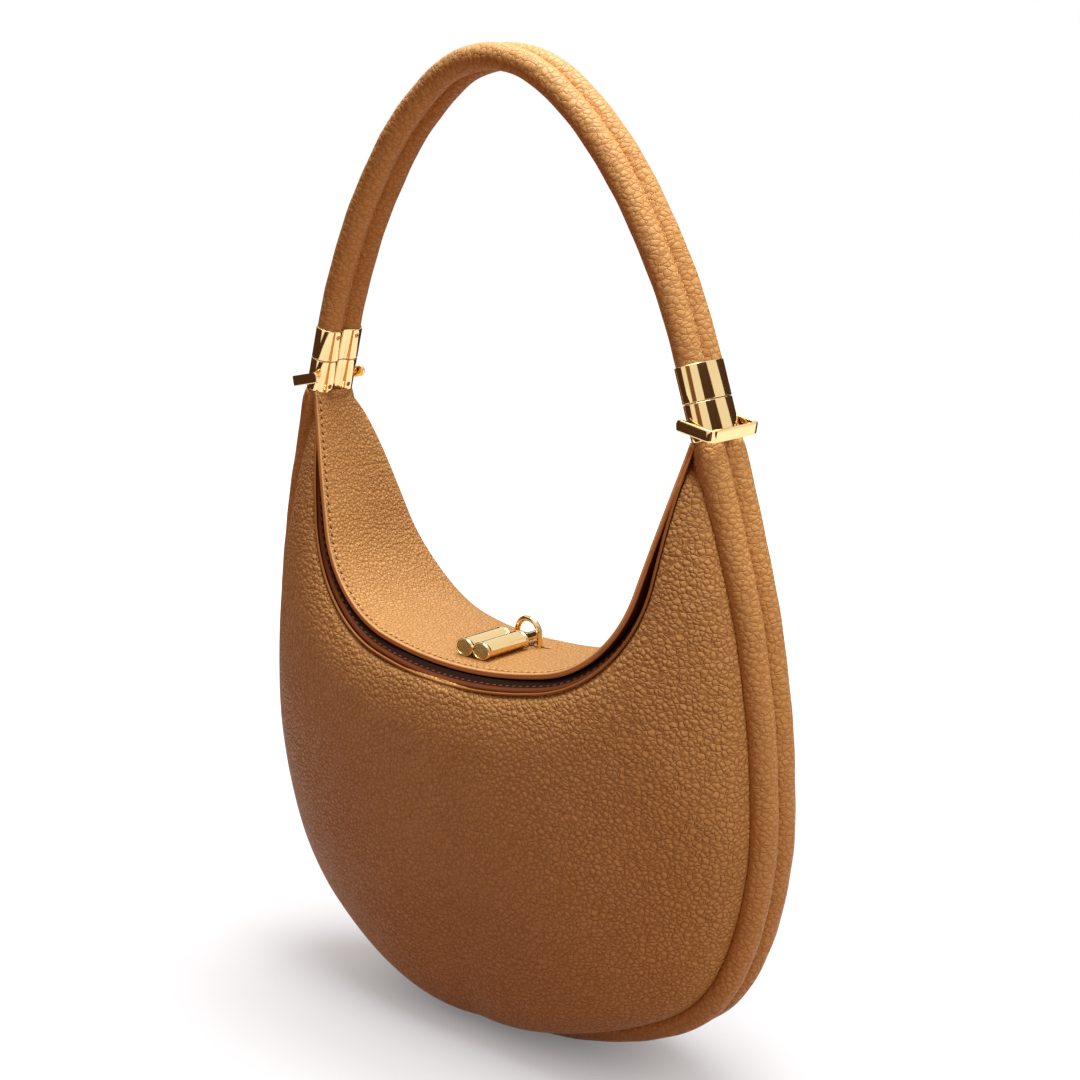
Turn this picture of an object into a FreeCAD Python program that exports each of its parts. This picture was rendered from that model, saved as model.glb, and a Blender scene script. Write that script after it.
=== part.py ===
import FreeCAD, Part
import math
import os
from FreeCAD import Placement, Rotation, Vector

# Half moon bag: two crescent panels between a pair of padded edge rolls, a handle of the same two
# tubes, metal collars where they meet, and a flap with a toggle lock over the mouth.
# Frame: X across the bag, the front faces -Y, +Z up, origin under the middle of the base.

doc = FreeCAD.newDocument("half_moon_bag")
sheet = doc.addObject("Spreadsheet::Sheet", "sizes")

# Driving dimensions in millimetres and degrees
SIZES = {
    # padded tubes of the handle and the edge rolls
    "tube_radius": 5.7,
    "tube_gap": 0.2,
    "leather_wall": 1.4,
    "filler_clearance": 0.1,
    "base_flat": 1.0,
    # centre line of the edge rolls, walked from the base up to the collar
    "bottom_radius": 208.3,
    "bottom_turn": 28.0,
    "corner_radius": 71.1,
    "corner_turn": 37.0,
    "side_radius": 165.0,
    "shoulder_radius": 387.0,
    "collar_tilt": 17.1,
    "shoulder_run": 40.3,
    # handle arch above the collars
    "handle_side_radius": 254.0,
    "handle_side_turn": 27.9,
    # panels and their layers
    "panel_depth": 34.0,
    "panel_leather": 1.6,
    "lining_cloth": 1.2,
    "roll_clearance": 0.3,
    "seat_clearance": 0.3,
    "rim_band_width": 2.6,
    "facing_width": 16.0,
    # mouth of the front panel, walked from the middle to the collar
    "mouth_height": 168.9,
    "mouth_bottom_radius": 240.0,
    "mouth_bottom_turn": 12.0,
    "mouth_corner_radius": 66.0,
    "mouth_corner_turn": 68.0,
    # flap
    "flap_rise": 7.8,
    "flap_leather": 1.6,
    "flap_cloth": 1.0,
    "flap_side_turn": 64.0,
    "flap_front_reach": 33.5,
    "flap_back_reach": 37.5,
    "flap_shoulder_x": 86.0,
    "flap_front_shoulder_reach": 27.0,
    "flap_back_shoulder_reach": 29.5,
    "flap_neck_x": 101.0,
    "flap_front_neck_reach": 14.5,
    "flap_back_neck_reach": 19.5,
    "flap_end_x": 112.0,
    "flap_end_reach": 11.5,
    "tongue_half_width": 45.0,
    "tongue_gap": 0.4,
    # collars
    "collar_wall": 1.2,
    "collar_fit": 0.15,
    "collar_upper_length": 15.0,
    "collar_lower_length": 15.5,
    "collar_groove_depth": 1.7,
    "collar_seam": 0.2,
    "screw_radius": 0.9,
    "screw_inset": 3.0,
    "screw_recess": 0.25,
    # rings and their pins
    "ring_reach": 17.0,
    "ring_bar_width": 3.4,
    "ring_bar_height": 3.8,
    "ring_arm_thickness": 3.0,
    "ring_side_clearance": 0.45,
    "ring_corner": 3.2,
    "ring_eye_radius": 2.6,
    "ring_droop": 28.0,
    "pivot_height": 6.1,
    "pin_radius": 1.3,
    "pin_clearance": 0.05,
    "pin_head_radius": 2.0,
    "pin_head_height": 0.7,
    # lock
    "lock_x": 4.3,
    "staple_y": 7.2,
    "staple_wire": 1.2,
    "staple_half_span": 6.3,
    "staple_height": 12.0,
    "slot_half_length": 12.0,
    "slot_half_width": 1.6,
    "plate_half_length": 14.0,
    "plate_half_width": 4.5,
    "plate_thickness": 1.2,
    "barrel_radius": 4.1,
    "barrel_pitch": 8.0,
    "barrel_length": 26.0,
    "barrel_front_y": -23.7,
    "barrel_lift": 0.35,
    "cap_radius": 3.4,
    "cap_recess": 0.6,
    "cap_depth": 1.2,
    "cap_groove": 0.5,
    "cap_groove_depth": 0.3,
    "neck_radius": 2.1,
    "neck_length": 11.0,
    "neck_seat": 3.0,
    # reach of cutting solids past what they cut
    "overrun": 40.0,
}
for row, (alias, number) in enumerate(SIZES.items(), start=1):
    sheet.set(f"A{row}", alias)
    sheet.set(f"B{row}", str(number))
    sheet.setAlias(f"B{row}", alias)
doc.recompute()


def size(alias):
    """A driving dimension, read from the sheet."""
    return float(sheet.get(alias))


nodes = []


def node(obj, label):
    """Name a finished sub-part and put it on the list that is written out."""
    obj.Label = label
    nodes.append(obj)
    return obj


def feature(label, shape):
    """A sub-part whose form is worked out with shape functions."""
    obj = doc.addObject("Part::Feature", label)
    obj.Shape = shape
    obj.Placement = Placement()
    return node(obj, label)


def cylinder(name, radius, height, place):
    """A cylinder along the placement's Z, its sizes bound to expressions on the sheet."""
    obj = doc.addObject("Part::Cylinder", name)
    obj.setExpression("Radius", radius)
    obj.setExpression("Height", height)
    obj.Placement = place
    return obj


def block(name, length, width, height, place):
    """A box from the placement's corner, its sizes bound to expressions on the sheet."""
    obj = doc.addObject("Part::Box", name)
    obj.setExpression("Length", length)
    obj.setExpression("Width", width)
    obj.setExpression("Height", height)
    obj.Placement = place
    return obj


def fused(name, pieces):
    obj = doc.addObject("Part::MultiFuse", name)
    obj.Shapes = pieces
    return obj


def cut(name, base, tool):
    obj = doc.addObject("Part::Cut", name)
    obj.Base = base
    obj.Tool = tool
    return obj


def grouped(name, pieces):
    obj = doc.addObject("Part::Compound", name)
    obj.Links = pieces
    return obj


along_x = Rotation(Vector(0, 1, 0), 90)
along_y = Rotation(Vector(1, 0, 0), -90)
upright = Rotation()
half_turn = Placement(Vector(), Rotation(Vector(0, 0, 1), 180))


def walk(start, heading, steps, y=0):
    """Edges in a plane across Y: each step is (radius, turn in degrees), radius None for a straight run.

    A positive turn bends to the left of the heading, seen with X right and Z up.
    """
    edges = []
    x, z = start
    angle = math.radians(heading)
    for radius, amount in steps:
        if radius is None:
            end = (x + amount * math.cos(angle), z + amount * math.sin(angle))
            edges.append(Part.LineSegment(Vector(x, y, z), Vector(end[0], y, end[1])).toShape())
        else:
            side = math.copysign(1, amount)
            turn = math.radians(amount)
            centre = (x - side * radius * math.sin(angle), z + side * radius * math.cos(angle))
            points = []
            for share in (0.5, 1):
                spoke = angle + turn * share
                points.append((centre[0] + side * radius * math.sin(spoke),
                               centre[1] - side * radius * math.cos(spoke)))
            middle, end = points
            edges.append(Part.Arc(Vector(x, y, z), Vector(middle[0], y, middle[1]),
                                  Vector(end[0], y, end[1])).toShape())
            angle += turn
        x, z = end
    return edges, (x, z), math.degrees(angle)


def mirrored_x(edges):
    return [edge.mirror(Vector(), Vector(1, 0, 0)) for edge in edges]


# Loop of the rolls and the handle: half of it, walked from the base to the apex of the handle
tube_radius = size("tube_radius")
tube_y = tube_radius + size("tube_gap") / 2
base_z = tube_radius - size("base_flat")
collar_tilt = size("collar_tilt")
side_turn = 90 - size("bottom_turn") - size("corner_turn")
collar_length = size("collar_upper_length") + size("collar_lower_length")


def loop_steps(inset):
    """Steps of the roll's centre line, or of a line inset from it, from the base to the collar."""
    return [
        (size("bottom_radius") - inset, size("bottom_turn")),
        (size("corner_radius") - inset, size("corner_turn")),
        (size("side_radius") - inset, side_turn),
        (size("shoulder_radius") - inset, collar_tilt),
        (None, size("shoulder_run")),
    ]


collar_foot, up_heading = walk((0, base_z), 0, loop_steps(0))[1:]
waist = walk((0, base_z), 0, loop_steps(0)[:3])[1]
axis_up = Vector(math.cos(math.radians(up_heading)), 0, math.sin(math.radians(up_heading)))
foot = Vector(collar_foot[0], 0, collar_foot[1])
seam = foot + axis_up * size("collar_lower_length")
head = foot + axis_up * collar_length
handle_side = (size("handle_side_radius"), size("handle_side_turn"))
shoulder_point = walk((head.x, head.z), up_heading, [handle_side])[1]
apex_turn = 180 - up_heading - size("handle_side_turn")
apex_radius = shoulder_point[0] / math.sin(math.radians(apex_turn))

# Frames of the collars: origin at the foot, Z up along the tubes, X away from the bag
collar_place = {
    "right": Placement(foot, Rotation(Vector(0, 1, 0), -collar_tilt)),
}
collar_place["left"] = half_turn * collar_place["right"]


def tube(edges, radius, hollow_radius=0):
    """A round tube along a chain of edges, hollow where an inner radius is given."""
    path = Part.Wire(Part.__sortEdges__(edges))
    start = path.OrderedEdges[0]
    at = start.valueAt(start.FirstParameter)
    heading = start.tangentAt(start.FirstParameter)
    if path.OrderedVertexes[0].Point.distanceToPoint(at) > tube_radius:
        at = start.valueAt(start.LastParameter)
    shapes = []
    for ring_radius in (radius, hollow_radius):
        if ring_radius:
            ring = Part.Wire([Part.makeCircle(ring_radius, at, heading)])
            shapes.append(path.makePipeShell([ring], True, False))
    return shapes[0].cut(shapes[1]) if hollow_radius else shapes[0]


wall_radius = tube_radius - size("leather_wall")
core_radius = wall_radius - size("filler_clearance")
overrun = size("overrun")
floor_width = 2 * (waist[0] + overrun)
below_floor = Part.makeBox(floor_width, floor_width, overrun,
                           Vector(-floor_width / 2, -floor_width / 2, -overrun))

# Edge rolls: leather sleeves over filler, from the seam of one collar round the base to the other
roll_end = size("collar_lower_length") - size("collar_seam")
for side_name, y in (("front", -tube_y), ("back", tube_y)):
    half = walk((0, base_z), 0, loop_steps(0) + [(None, roll_end)], y)[0]
    whole = half + mirrored_x(half)
    feature(f"{side_name}_roll", tube(whole, tube_radius, wall_radius).cut(below_floor))
    feature(f"{side_name}_roll_core", tube(whole, core_radius))

# Handle: two leather tubes over filler, from seam to seam over the apex
handle_end = size("collar_upper_length") - size("collar_seam")
handle_start = head - axis_up * handle_end
handle_steps = [(None, handle_end), handle_side, (apex_radius, apex_turn)]
for side_name, y in (("front", -tube_y), ("back", tube_y)):
    half = walk((handle_start.x, handle_start.z), up_heading, handle_steps, y)[0]
    whole = half + mirrored_x(half)
    feature(f"handle_{side_name}_tube", tube(whole, tube_radius, wall_radius))
    feature(f"handle_{side_name}_core", tube(whole, core_radius))

# Panels: domes over the loop, each a loft of the loop's outline drawn in towards the waist height
dome_section_angles = (0, 18, 36, 54, 72, 86)
edge_inset = tube_radius + size("roll_clearance")


def dome(layer):
    """The front dome, drawn in by the thickness of the layers outside it."""
    inset = edge_inset + layer
    half = walk((0, base_z + inset), 0, loop_steps(inset) + [(None, collar_length)])[0]
    tip = half[-1].Vertexes[-1].Point
    lid = Part.LineSegment(tip, Vector(-tip.x, 0, tip.z)).toShape()
    outline = Part.Wire(Part.__sortEdges__(half + mirrored_x(half) + [lid]))
    sections = []
    for angle in dome_section_angles:
        depth = (size("panel_depth") - layer) * math.sin(math.radians(angle))
        ring = outline.scaled(math.cos(math.radians(angle)), Vector(0, 0, waist[1]))
        sections.append(ring.translated(Vector(0, -tube_y - depth, 0)))
    return Part.makeLoft(sections, True, False)


def mouth(height, drop, side, corner_radius, bottom_radius):
    """Everything above the U-shaped mouth line, which is moved down and out by drop."""
    steps = [
        (bottom_radius + drop, size("mouth_bottom_turn")),
        (corner_radius + drop, side),
        (None, 2 * head.z),
    ]
    half = walk((0, height - drop), 0, steps)[0]
    tip = half[-1].Vertexes[-1].Point
    lid = Part.LineSegment(tip, Vector(-tip.x, 0, tip.z)).toShape()
    face = Part.Face(Part.Wire(Part.__sortEdges__(half + mirrored_x(half) + [lid])))
    reach = size("panel_depth") + tube_y + overrun
    return face.translated(Vector(0, -reach, 0)).extrude(Vector(0, 2 * reach, 0))


def front_mouth(drop):
    return mouth(size("mouth_height"), drop, size("mouth_corner_turn"),
                 size("mouth_corner_radius"), size("mouth_bottom_radius"))


def flap_mouth(drop):
    rise = size("flap_rise")
    return mouth(size("mouth_height") + rise, drop, size("flap_side_turn"),
                 size("mouth_corner_radius") - rise, size("mouth_bottom_radius") - rise)


def above_collar_foot():
    """The space over both collars' lower ends, which the soft body leaves free."""
    gap = size("seat_clearance")
    zone = Part.makeBox(2 * overrun, 4 * overrun, head.z, Vector(-overrun, -2 * overrun, -gap))
    return [zone.transformGeometry(place.toMatrix()) for place in collar_place.values()]


panel_leather = size("panel_leather")
lining_cloth = size("lining_cloth")
outer_dome = dome(0)
middle_dome = dome(panel_leather)
inner_dome = dome(panel_leather + lining_cloth)
collar_zones = above_collar_foot()
leather_shell = outer_dome.cut([middle_dome] + collar_zones)
cloth_shell = middle_dome.cut([inner_dome] + collar_zones)

# Front panel with its rim band, and behind them the facing and the lining
rim_drop = size("rim_band_width")
facing_drop = size("facing_width")
feature("front_panel", leather_shell.cut(front_mouth(rim_drop)))
feature("front_rim_band", leather_shell.common(front_mouth(rim_drop)).cut(front_mouth(0)))
feature("front_lining", cloth_shell.cut(front_mouth(facing_drop)))
feature("front_facing", cloth_shell.common(front_mouth(facing_drop)).cut(front_mouth(0)))

# Back panel and lining: they end just under the flap, and below its fold behind the tongue
flap_thickness = size("flap_leather") + size("flap_cloth")
flap_top = size("mouth_height") + size("flap_rise")
fold_z = flap_top - flap_thickness
seat = size("seat_clearance")
tongue_x = size("tongue_half_width")
behind_tongue = Part.makeBox(2 * (tongue_x + size("tongue_gap")), size("panel_depth") + overrun, head.z,
                             Vector(-tongue_x - size("tongue_gap"), 0, fold_z - seat))
back_cuts = [flap_mouth(flap_thickness + seat), behind_tongue]
flip_y = (Vector(), Vector(0, 1, 0))
feature("back_panel", leather_shell.mirror(*flip_y).cut(back_cuts))
feature("back_lining", cloth_shell.mirror(*flip_y).cut(back_cuts))

# Gusset strip: joins the panels inside the rolls, from collar to collar
strip_edges = []
for inset in (edge_inset, edge_inset + panel_leather):
    half = walk((0, base_z + inset), 0, loop_steps(inset), -tube_y)[0]
    strip_edges.append(half + mirrored_x(half))
outer_line, inner_line = (Part.Wire(Part.__sortEdges__(edges)) for edges in strip_edges)
ends = [Part.LineSegment(outer_line.OrderedVertexes[i].Point, inner_line.OrderedVertexes[i].Point).toShape()
        for i in (0, -1)]
strip_face = Part.Face(Part.Wire(Part.__sortEdges__(outer_line.Edges + inner_line.Edges + ends)))
gusset = strip_face.extrude(Vector(0, 2 * tube_y, 0)).cut(collar_zones)
feature("gusset_strip", gusset)

# Flap: a trough of leather and cloth, cut to its plan, with the tongue apart from the fixed wings
def plan_side(edge, sign):
    """One long edge of the flap's plan, front or back, from the left end to the right end."""
    right = [
        Vector(size("flap_shoulder_x"), sign * size(f"flap_{edge}_shoulder_reach"), 0),
        Vector(size("flap_neck_x"), sign * size(f"flap_{edge}_neck_reach"), 0),
        Vector(size("flap_end_x"), sign * size("flap_end_reach"), 0),
    ]
    left = [Vector(-p.x, p.y, 0) for p in reversed(right)]
    middle = Part.Arc(left[-1], Vector(0, sign * size(f"flap_{edge}_reach"), 0), right[0]).toShape()
    lines = [Part.LineSegment(a, b).toShape() for a, b in zip(left + right, (left + right)[1:])
             if (a, b) != (left[-1], right[0])]
    return lines + [middle]


plan_edges = plan_side("front", -1) + plan_side("back", 1)
for x in (-size("flap_end_x"), size("flap_end_x")):
    plan_edges.append(Part.LineSegment(Vector(x, -size("flap_end_reach"), 0),
                                       Vector(x, size("flap_end_reach"), 0)).toShape())
plan = Part.Face(Part.Wire(Part.__sortEdges__(plan_edges))).extrude(Vector(0, 0, head.z))
tongue_zone = Part.makeBox(2 * tongue_x, floor_width, head.z, Vector(-tongue_x, -floor_width / 2, 0))
wing_gap = tongue_x + size("tongue_gap")
lock_x = size("lock_x")
slot = Part.makeBox(2 * size("slot_half_length"), 2 * size("slot_half_width"), head.z,
                    Vector(lock_x - size("slot_half_length"), size("staple_y") - size("slot_half_width"), 0))
keep_out = collar_zones + [gusset]
flap_leather = flap_mouth(size("flap_leather")).cut([flap_mouth(0)] + keep_out).common(plan)
flap_cloth = flap_mouth(flap_thickness).cut([flap_mouth(size("flap_leather"))] + keep_out).common(plan)
feature("flap", flap_leather.common(tongue_zone).cut(slot))
feature("flap_lining", flap_cloth.common(tongue_zone).cut(slot))
for side_name, corner in (("left", -wing_gap - floor_width), ("right", wing_gap)):
    wing_zone = Part.makeBox(floor_width, floor_width, head.z, Vector(corner, -floor_width / 2, 0))
    feature(f"{side_name}_flap_wing", flap_leather.common(wing_zone))
    feature(f"{side_name}_flap_wing_lining", flap_cloth.common(wing_zone))

# Collars: an upper and a lower sleeve over both tubes, smooth outside and grooved on the inner face
bore_radius = tube_radius + size("collar_fit")
sleeve_radius = bore_radius + size("collar_wall")
bore_size = "sizes.tube_radius + sizes.collar_fit"
sleeve_size = bore_size + " + sizes.collar_wall"
screw_length = size("collar_wall") - size("screw_recess")
pin_inner = tube_y + bore_radius + size("pin_clearance")
sleeve_y = tube_y + sleeve_radius
arm_inner = sleeve_y + size("ring_side_clearance")
arm_outer = arm_inner + size("ring_arm_thickness")
pin_length = "sizes.collar_wall + sizes.ring_side_clearance + sizes.ring_arm_thickness"


def sleeve(name, place, bottom, length):
    """A collar sleeve without its holes, from bottom upwards along the tubes."""
    posts = []
    bores = []
    for index, y in enumerate((-tube_y, tube_y)):
        at = place * Placement(Vector(0, y, bottom), upright)
        posts.append(cylinder(f"{name}_post{index}", sleeve_size, length, at))
        bores.append(cylinder(f"{name}_bore{index}", bore_size, length, at))
    corner = Vector(size("collar_groove_depth") - sleeve_radius, -tube_y, bottom)
    posts.append(block(f"{name}_web", f"2 * ({sleeve_size}) - sizes.collar_groove_depth",
                       "2 * sizes.tube_radius + sizes.tube_gap", length,
                       place * Placement(corner, upright)))
    return fused(f"{name}_posts", posts), bores


def drilled(label, parts, holes):
    """The sleeve with its bores and holes cut out."""
    posts, bores = parts
    tool = fused(f"{label}_tools", bores + holes)
    return node(cut(label, posts, tool), label)


for side_name, place in collar_place.items():
    screws = []
    heights = {
        "upper": collar_length - size("screw_inset"),
        "lower": size("screw_inset"),
    }
    holes = {"upper": [], "lower": []}
    for level, height in heights.items():
        for index, y in enumerate((-tube_y, tube_y)):
            name = f"{side_name}_{level}_screw{index}"
            hole_at = place * Placement(Vector(-sleeve_radius - size("screw_recess"), y, height), along_x)
            holes[level].append(cylinder(f"{name}_hole", "sizes.screw_radius", "sizes.tube_radius", hole_at))
            screw_at = place * Placement(Vector(-bore_radius - screw_length, y, height), along_x)
            screws.append(cylinder(name, "sizes.screw_radius", "sizes.collar_wall - sizes.screw_recess",
                                   screw_at))
    pins = []
    for index, (turn, sign) in enumerate(((along_y, 1), (along_y.inverted(), -1))):
        name = f"{side_name}_pin{index}"
        at = place * Placement(Vector(0, sign * pin_inner, size("pivot_height")), turn)
        head_at = place * Placement(Vector(0, sign * (arm_outer + size("ring_side_clearance")),
                                           size("pivot_height")), turn)
        shank_length = f"{pin_length} + sizes.ring_side_clearance - sizes.pin_clearance"
        holes["lower"].append(cylinder(f"{name}_hole", "sizes.pin_radius", shank_length, at))
        shank = cylinder(f"{name}_shank", "sizes.pin_radius", shank_length, at)
        button = cylinder(f"{name}_head", "sizes.pin_head_radius", "sizes.pin_head_height", head_at)
        pins.append(fused(name, [shank, button]))
    lower = sleeve(f"{side_name}_lower", place, 0, "sizes.collar_lower_length")
    upper = sleeve(f"{side_name}_upper", place, size("collar_lower_length"), "sizes.collar_upper_length")
    drilled(f"{side_name}_lower_collar", lower, holes["lower"])
    drilled(f"{side_name}_upper_collar", upper, holes["upper"])
    node(grouped(f"{side_name}_screws", screws), f"{side_name}_collar_screws")
    node(grouped(f"{side_name}_pins", pins), f"{side_name}_ring_pins")

# Swing rings: a rectangular bail with clipped corners, its two eyes on the pins of the lower collar
for side_name, place in collar_place.items():
    drooping = Rotation(Vector(0, 1, 0), size("ring_droop"))
    pivot = place * Placement(Vector(0, 0, size("pivot_height")), drooping)
    reach = size("ring_reach")
    corner = size("ring_corner")
    bar = size("ring_bar_width")
    outline_points = [
        (0, arm_outer), (reach - corner, arm_outer), (reach, arm_outer - corner),
        (reach, corner - arm_outer), (reach - corner, -arm_outer), (0, -arm_outer),
        (0, -arm_inner), (reach - bar, -arm_inner), (reach - bar, arm_inner), (0, arm_inner),
    ]
    body = doc.addObject("PartDesign::Body", f"{side_name}_ring_body")
    sketch = body.newObject("Sketcher::SketchObject", f"{side_name}_ring_outline")
    plane = [item for item in body.Origin.OriginFeatures if item.Role == "XY_Plane"][0]
    sketch.AttachmentSupport = [(plane, "")]
    sketch.MapMode = "FlatFace"
    corners = [Vector(x, y, 0) for x, y in outline_points]
    for start, end in zip(corners, corners[1:] + corners[:1]):
        sketch.addGeometry(Part.LineSegment(start, end))
    pad = body.newObject("PartDesign::Pad", f"{side_name}_ring_bar")
    pad.Profile = sketch
    pad.Midplane = True
    pad.setExpression("Length", "sizes.ring_bar_height")
    body.Placement = pivot
    eyes = []
    eye_holes = []
    for index, y in enumerate((-arm_outer, arm_inner)):
        at = pivot * Placement(Vector(0, y, 0), along_y)
        eyes.append(cylinder(f"{side_name}_eye{index}", "sizes.ring_eye_radius",
                             "sizes.ring_arm_thickness", at))
        eye_holes.append(cylinder(f"{side_name}_eye_hole{index}", "sizes.pin_radius + sizes.pin_clearance",
                                  "sizes.ring_arm_thickness", at))
    ring = fused(f"{side_name}_ring_blank", [body] + eyes)
    node(cut(f"{side_name}_ring", ring, fused(f"{side_name}_eye_holes", eye_holes)), f"{side_name}_ring")

# Lock staple: a wire arch whose legs pass through the flap's slot and stand in the back plate
staple_y = size("staple_y")
half_span = size("staple_half_span")
plate_top = fold_z
arch_z = flap_top + size("staple_height") - size("staple_wire") - half_span
leg_foot = plate_top - size("plate_thickness")
staple_path = walk((lock_x + half_span, leg_foot), 90,
                   [(None, arch_z - leg_foot), (half_span, 180), (None, arch_z - leg_foot)], staple_y)[0]
feature("lock_staple", tube(staple_path, size("staple_wire")))
plate_corner = Vector(lock_x - size("plate_half_length"), staple_y - size("plate_half_width"), leg_foot)
plate = block("lock_plate_blank", "2 * sizes.plate_half_length", "2 * sizes.plate_half_width",
              "sizes.plate_thickness", Placement(plate_corner, upright))
leg_holes = [cylinder(f"lock_leg_hole{index}", "sizes.staple_wire", "sizes.plate_thickness",
                      Placement(Vector(lock_x + offset, staple_y, leg_foot), upright))
             for index, offset in enumerate((-half_span, half_span))]
node(cut("lock_plate", plate, fused("lock_leg_holes", leg_holes)), "lock_back_plate")

# Toggle: two barrels side by side with ribbed end caps, and a neck pin that passes through the staple
barrel_z = flap_top + size("barrel_lift") + size("barrel_radius")
front_y = size("barrel_front_y")
barrel_end = front_y + size("barrel_length")
barrels = []
sockets = []
caps = []
for index, x in enumerate((lock_x - size("barrel_pitch"), lock_x)):
    at = Placement(Vector(x, front_y, barrel_z), along_y)
    cap_at = Placement(Vector(x, front_y + size("cap_recess"), barrel_z), along_y)
    barrels.append(cylinder(f"barrel{index}", "sizes.barrel_radius", "sizes.barrel_length", at))
    sockets.append(cylinder(f"barrel_socket{index}", "sizes.cap_radius",
                            "sizes.cap_recess + sizes.cap_depth", at))
    cap = cylinder(f"cap_blank{index}", "sizes.cap_radius", "sizes.cap_depth", cap_at)
    grooves = []
    groove_step = 2 * size("cap_groove")
    grooves_each_side = int((size("cap_radius") - size("cap_groove")) / groove_step)
    for line in range(-grooves_each_side, grooves_each_side + 1):
        groove_at = Vector(x + line * groove_step - size("cap_groove") / 2, front_y + size("cap_recess"),
                           barrel_z - size("cap_radius"))
        grooves.append(block(f"cap{index}_groove{line + grooves_each_side}", "sizes.cap_groove",
                             "sizes.cap_groove_depth", "2 * sizes.cap_radius", Placement(groove_at, upright)))
    caps.append(cut(f"cap{index}", cap, fused(f"cap{index}_grooves", grooves)))
neck_at = Placement(Vector(lock_x, barrel_end - size("neck_seat"), barrel_z), along_y)
sockets.append(cylinder("neck_socket", "sizes.neck_radius", "sizes.neck_seat", neck_at))
node(cut("barrels", fused("barrel_pair", barrels), fused("barrel_sockets", sockets)), "toggle_barrels")
node(grouped("caps", caps), "toggle_end_caps")
node(cylinder("neck", "sizes.neck_radius", "sizes.neck_seat + sizes.neck_length", neck_at), "toggle_neck_pin")

doc.recompute()
for obj in doc.Objects:
    if "Invalid" in obj.State or "Error" in obj.State:
        raise RuntimeError(f"{obj.Label} failed: {obj.State}")
for obj in nodes:
    if obj.Shape.isNull() or not obj.Shape.isValid():
        raise RuntimeError(f"{obj.Label} has no valid shape")
os.makedirs("parts", exist_ok=True)
for obj in nodes:
    obj.Shape.exportStep(f"parts/{obj.Label}.step")
    print(obj.Label, len(obj.Shape.Solids), round(obj.Shape.Volume, 1))
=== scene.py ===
import math

import bmesh
import bpy
import numpy as np
from mathutils import Matrix, Vector


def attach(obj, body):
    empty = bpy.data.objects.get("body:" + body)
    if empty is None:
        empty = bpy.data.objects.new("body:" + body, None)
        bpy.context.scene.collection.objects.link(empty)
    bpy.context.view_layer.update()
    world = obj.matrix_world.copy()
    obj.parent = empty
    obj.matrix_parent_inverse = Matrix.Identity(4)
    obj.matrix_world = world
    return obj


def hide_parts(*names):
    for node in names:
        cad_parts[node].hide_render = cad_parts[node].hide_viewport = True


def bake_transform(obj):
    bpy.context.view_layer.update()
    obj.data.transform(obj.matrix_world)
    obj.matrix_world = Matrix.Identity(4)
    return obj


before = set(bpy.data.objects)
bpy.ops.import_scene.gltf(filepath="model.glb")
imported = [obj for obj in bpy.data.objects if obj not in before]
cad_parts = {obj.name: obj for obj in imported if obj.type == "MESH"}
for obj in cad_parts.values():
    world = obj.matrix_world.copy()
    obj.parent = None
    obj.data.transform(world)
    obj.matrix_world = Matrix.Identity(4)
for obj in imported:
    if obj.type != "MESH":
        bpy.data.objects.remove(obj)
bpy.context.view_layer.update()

# Edge rolls: two sleeves of tan pebbled calf leather over soft filler cord, sewn side by side round the
# body from collar to collar. Their undersides are pressed flat where the bag stands on them. Sizes are in
# millimetres, apart from the values of shaders and where metres are named.
PER_METRE = 1000
TUBE_RADIUS = 5.7
TUBE_Y = 5.8
BASE_Z = 4.7
COLLAR_TILT = 17.1
LOOP = [(208.3, 28.0), (71.1, 37.0), (165.0, 25.0), (387.0, COLLAR_TILT), (None, 40.3)]
LOWER_LENGTH = 15.5
UPPER_LENGTH = 15.0
COLLAR_LENGTH = LOWER_LENGTH + UPPER_LENGTH
COLLAR_SEAM = 0.2
PAST_FOOT = 0.5
# Waves on a stuffed sleeve: (depth, length per radian, twist round the tube, phase of the twist)
RIPPLES = ((0.09, 7.3, 1.7, 0.0), (0.06, 3.1, 2.3, 1 + math.pi / 2))
# Forms of a shell: its rows wrap, its columns wrap, its ends are capped
SHEET = (False, False, False)
TUBE = (False, True, True)
LATHE = (False, True, False)
HOOP = (True, True, False)


def walk(start, heading, steps, spacing=1.5):
    """Points in the XZ plane along arcs and straight runs: a step is (radius, degrees to the left) or
    (None, length), and a point of an arc is its centre + radius (sin a, -cos a)."""
    at = np.array(start, float)
    angle = math.radians(heading)
    runs = [at[None]]
    for radius, amount in steps:
        length = amount if radius is None else radius * math.radians(amount)
        share = np.linspace(0, 1, max(3, round(length / spacing)))[1:, None]
        if radius is None:
            run = at + share * amount * np.array([math.cos(angle), math.sin(angle)])
        else:
            spoke = angle + share * math.radians(amount)
            centre = at + radius * np.array([-math.sin(angle), math.cos(angle)])
            run = centre + radius * np.hstack([np.sin(spoke), -np.cos(spoke)])
            angle += math.radians(amount)
        runs.append(run)
        at = run[-1]
    return np.vstack(runs)


def loop_line(inset, past=PAST_FOOT):
    """Half of the rolls' centre line, or of a line inset from it, from the base to past the collar's foot."""
    steps = [(radius and radius - inset, amount) for radius, amount in LOOP]
    return walk((0, BASE_Z + inset), 0, steps + [(None, past)])


def both_sides(half):
    """A right-hand half line with its mirror image before it, so that it runs from left to right."""
    return np.vstack([half[:0:-1] * (-1, 1), half])


def unit(vectors):
    """Vectors scaled to length 1."""
    return vectors / np.linalg.norm(vectors, axis=-1, keepdims=True)


def lap(count):
    """Even angles once round a circle."""
    return np.linspace(0, 2 * math.pi, count, endpoint=False)


def lengths(line):
    """The length reached at each point of a line."""
    return np.concatenate([[0], np.cumsum(np.linalg.norm(np.diff(line, axis=0), axis=1))])


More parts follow.
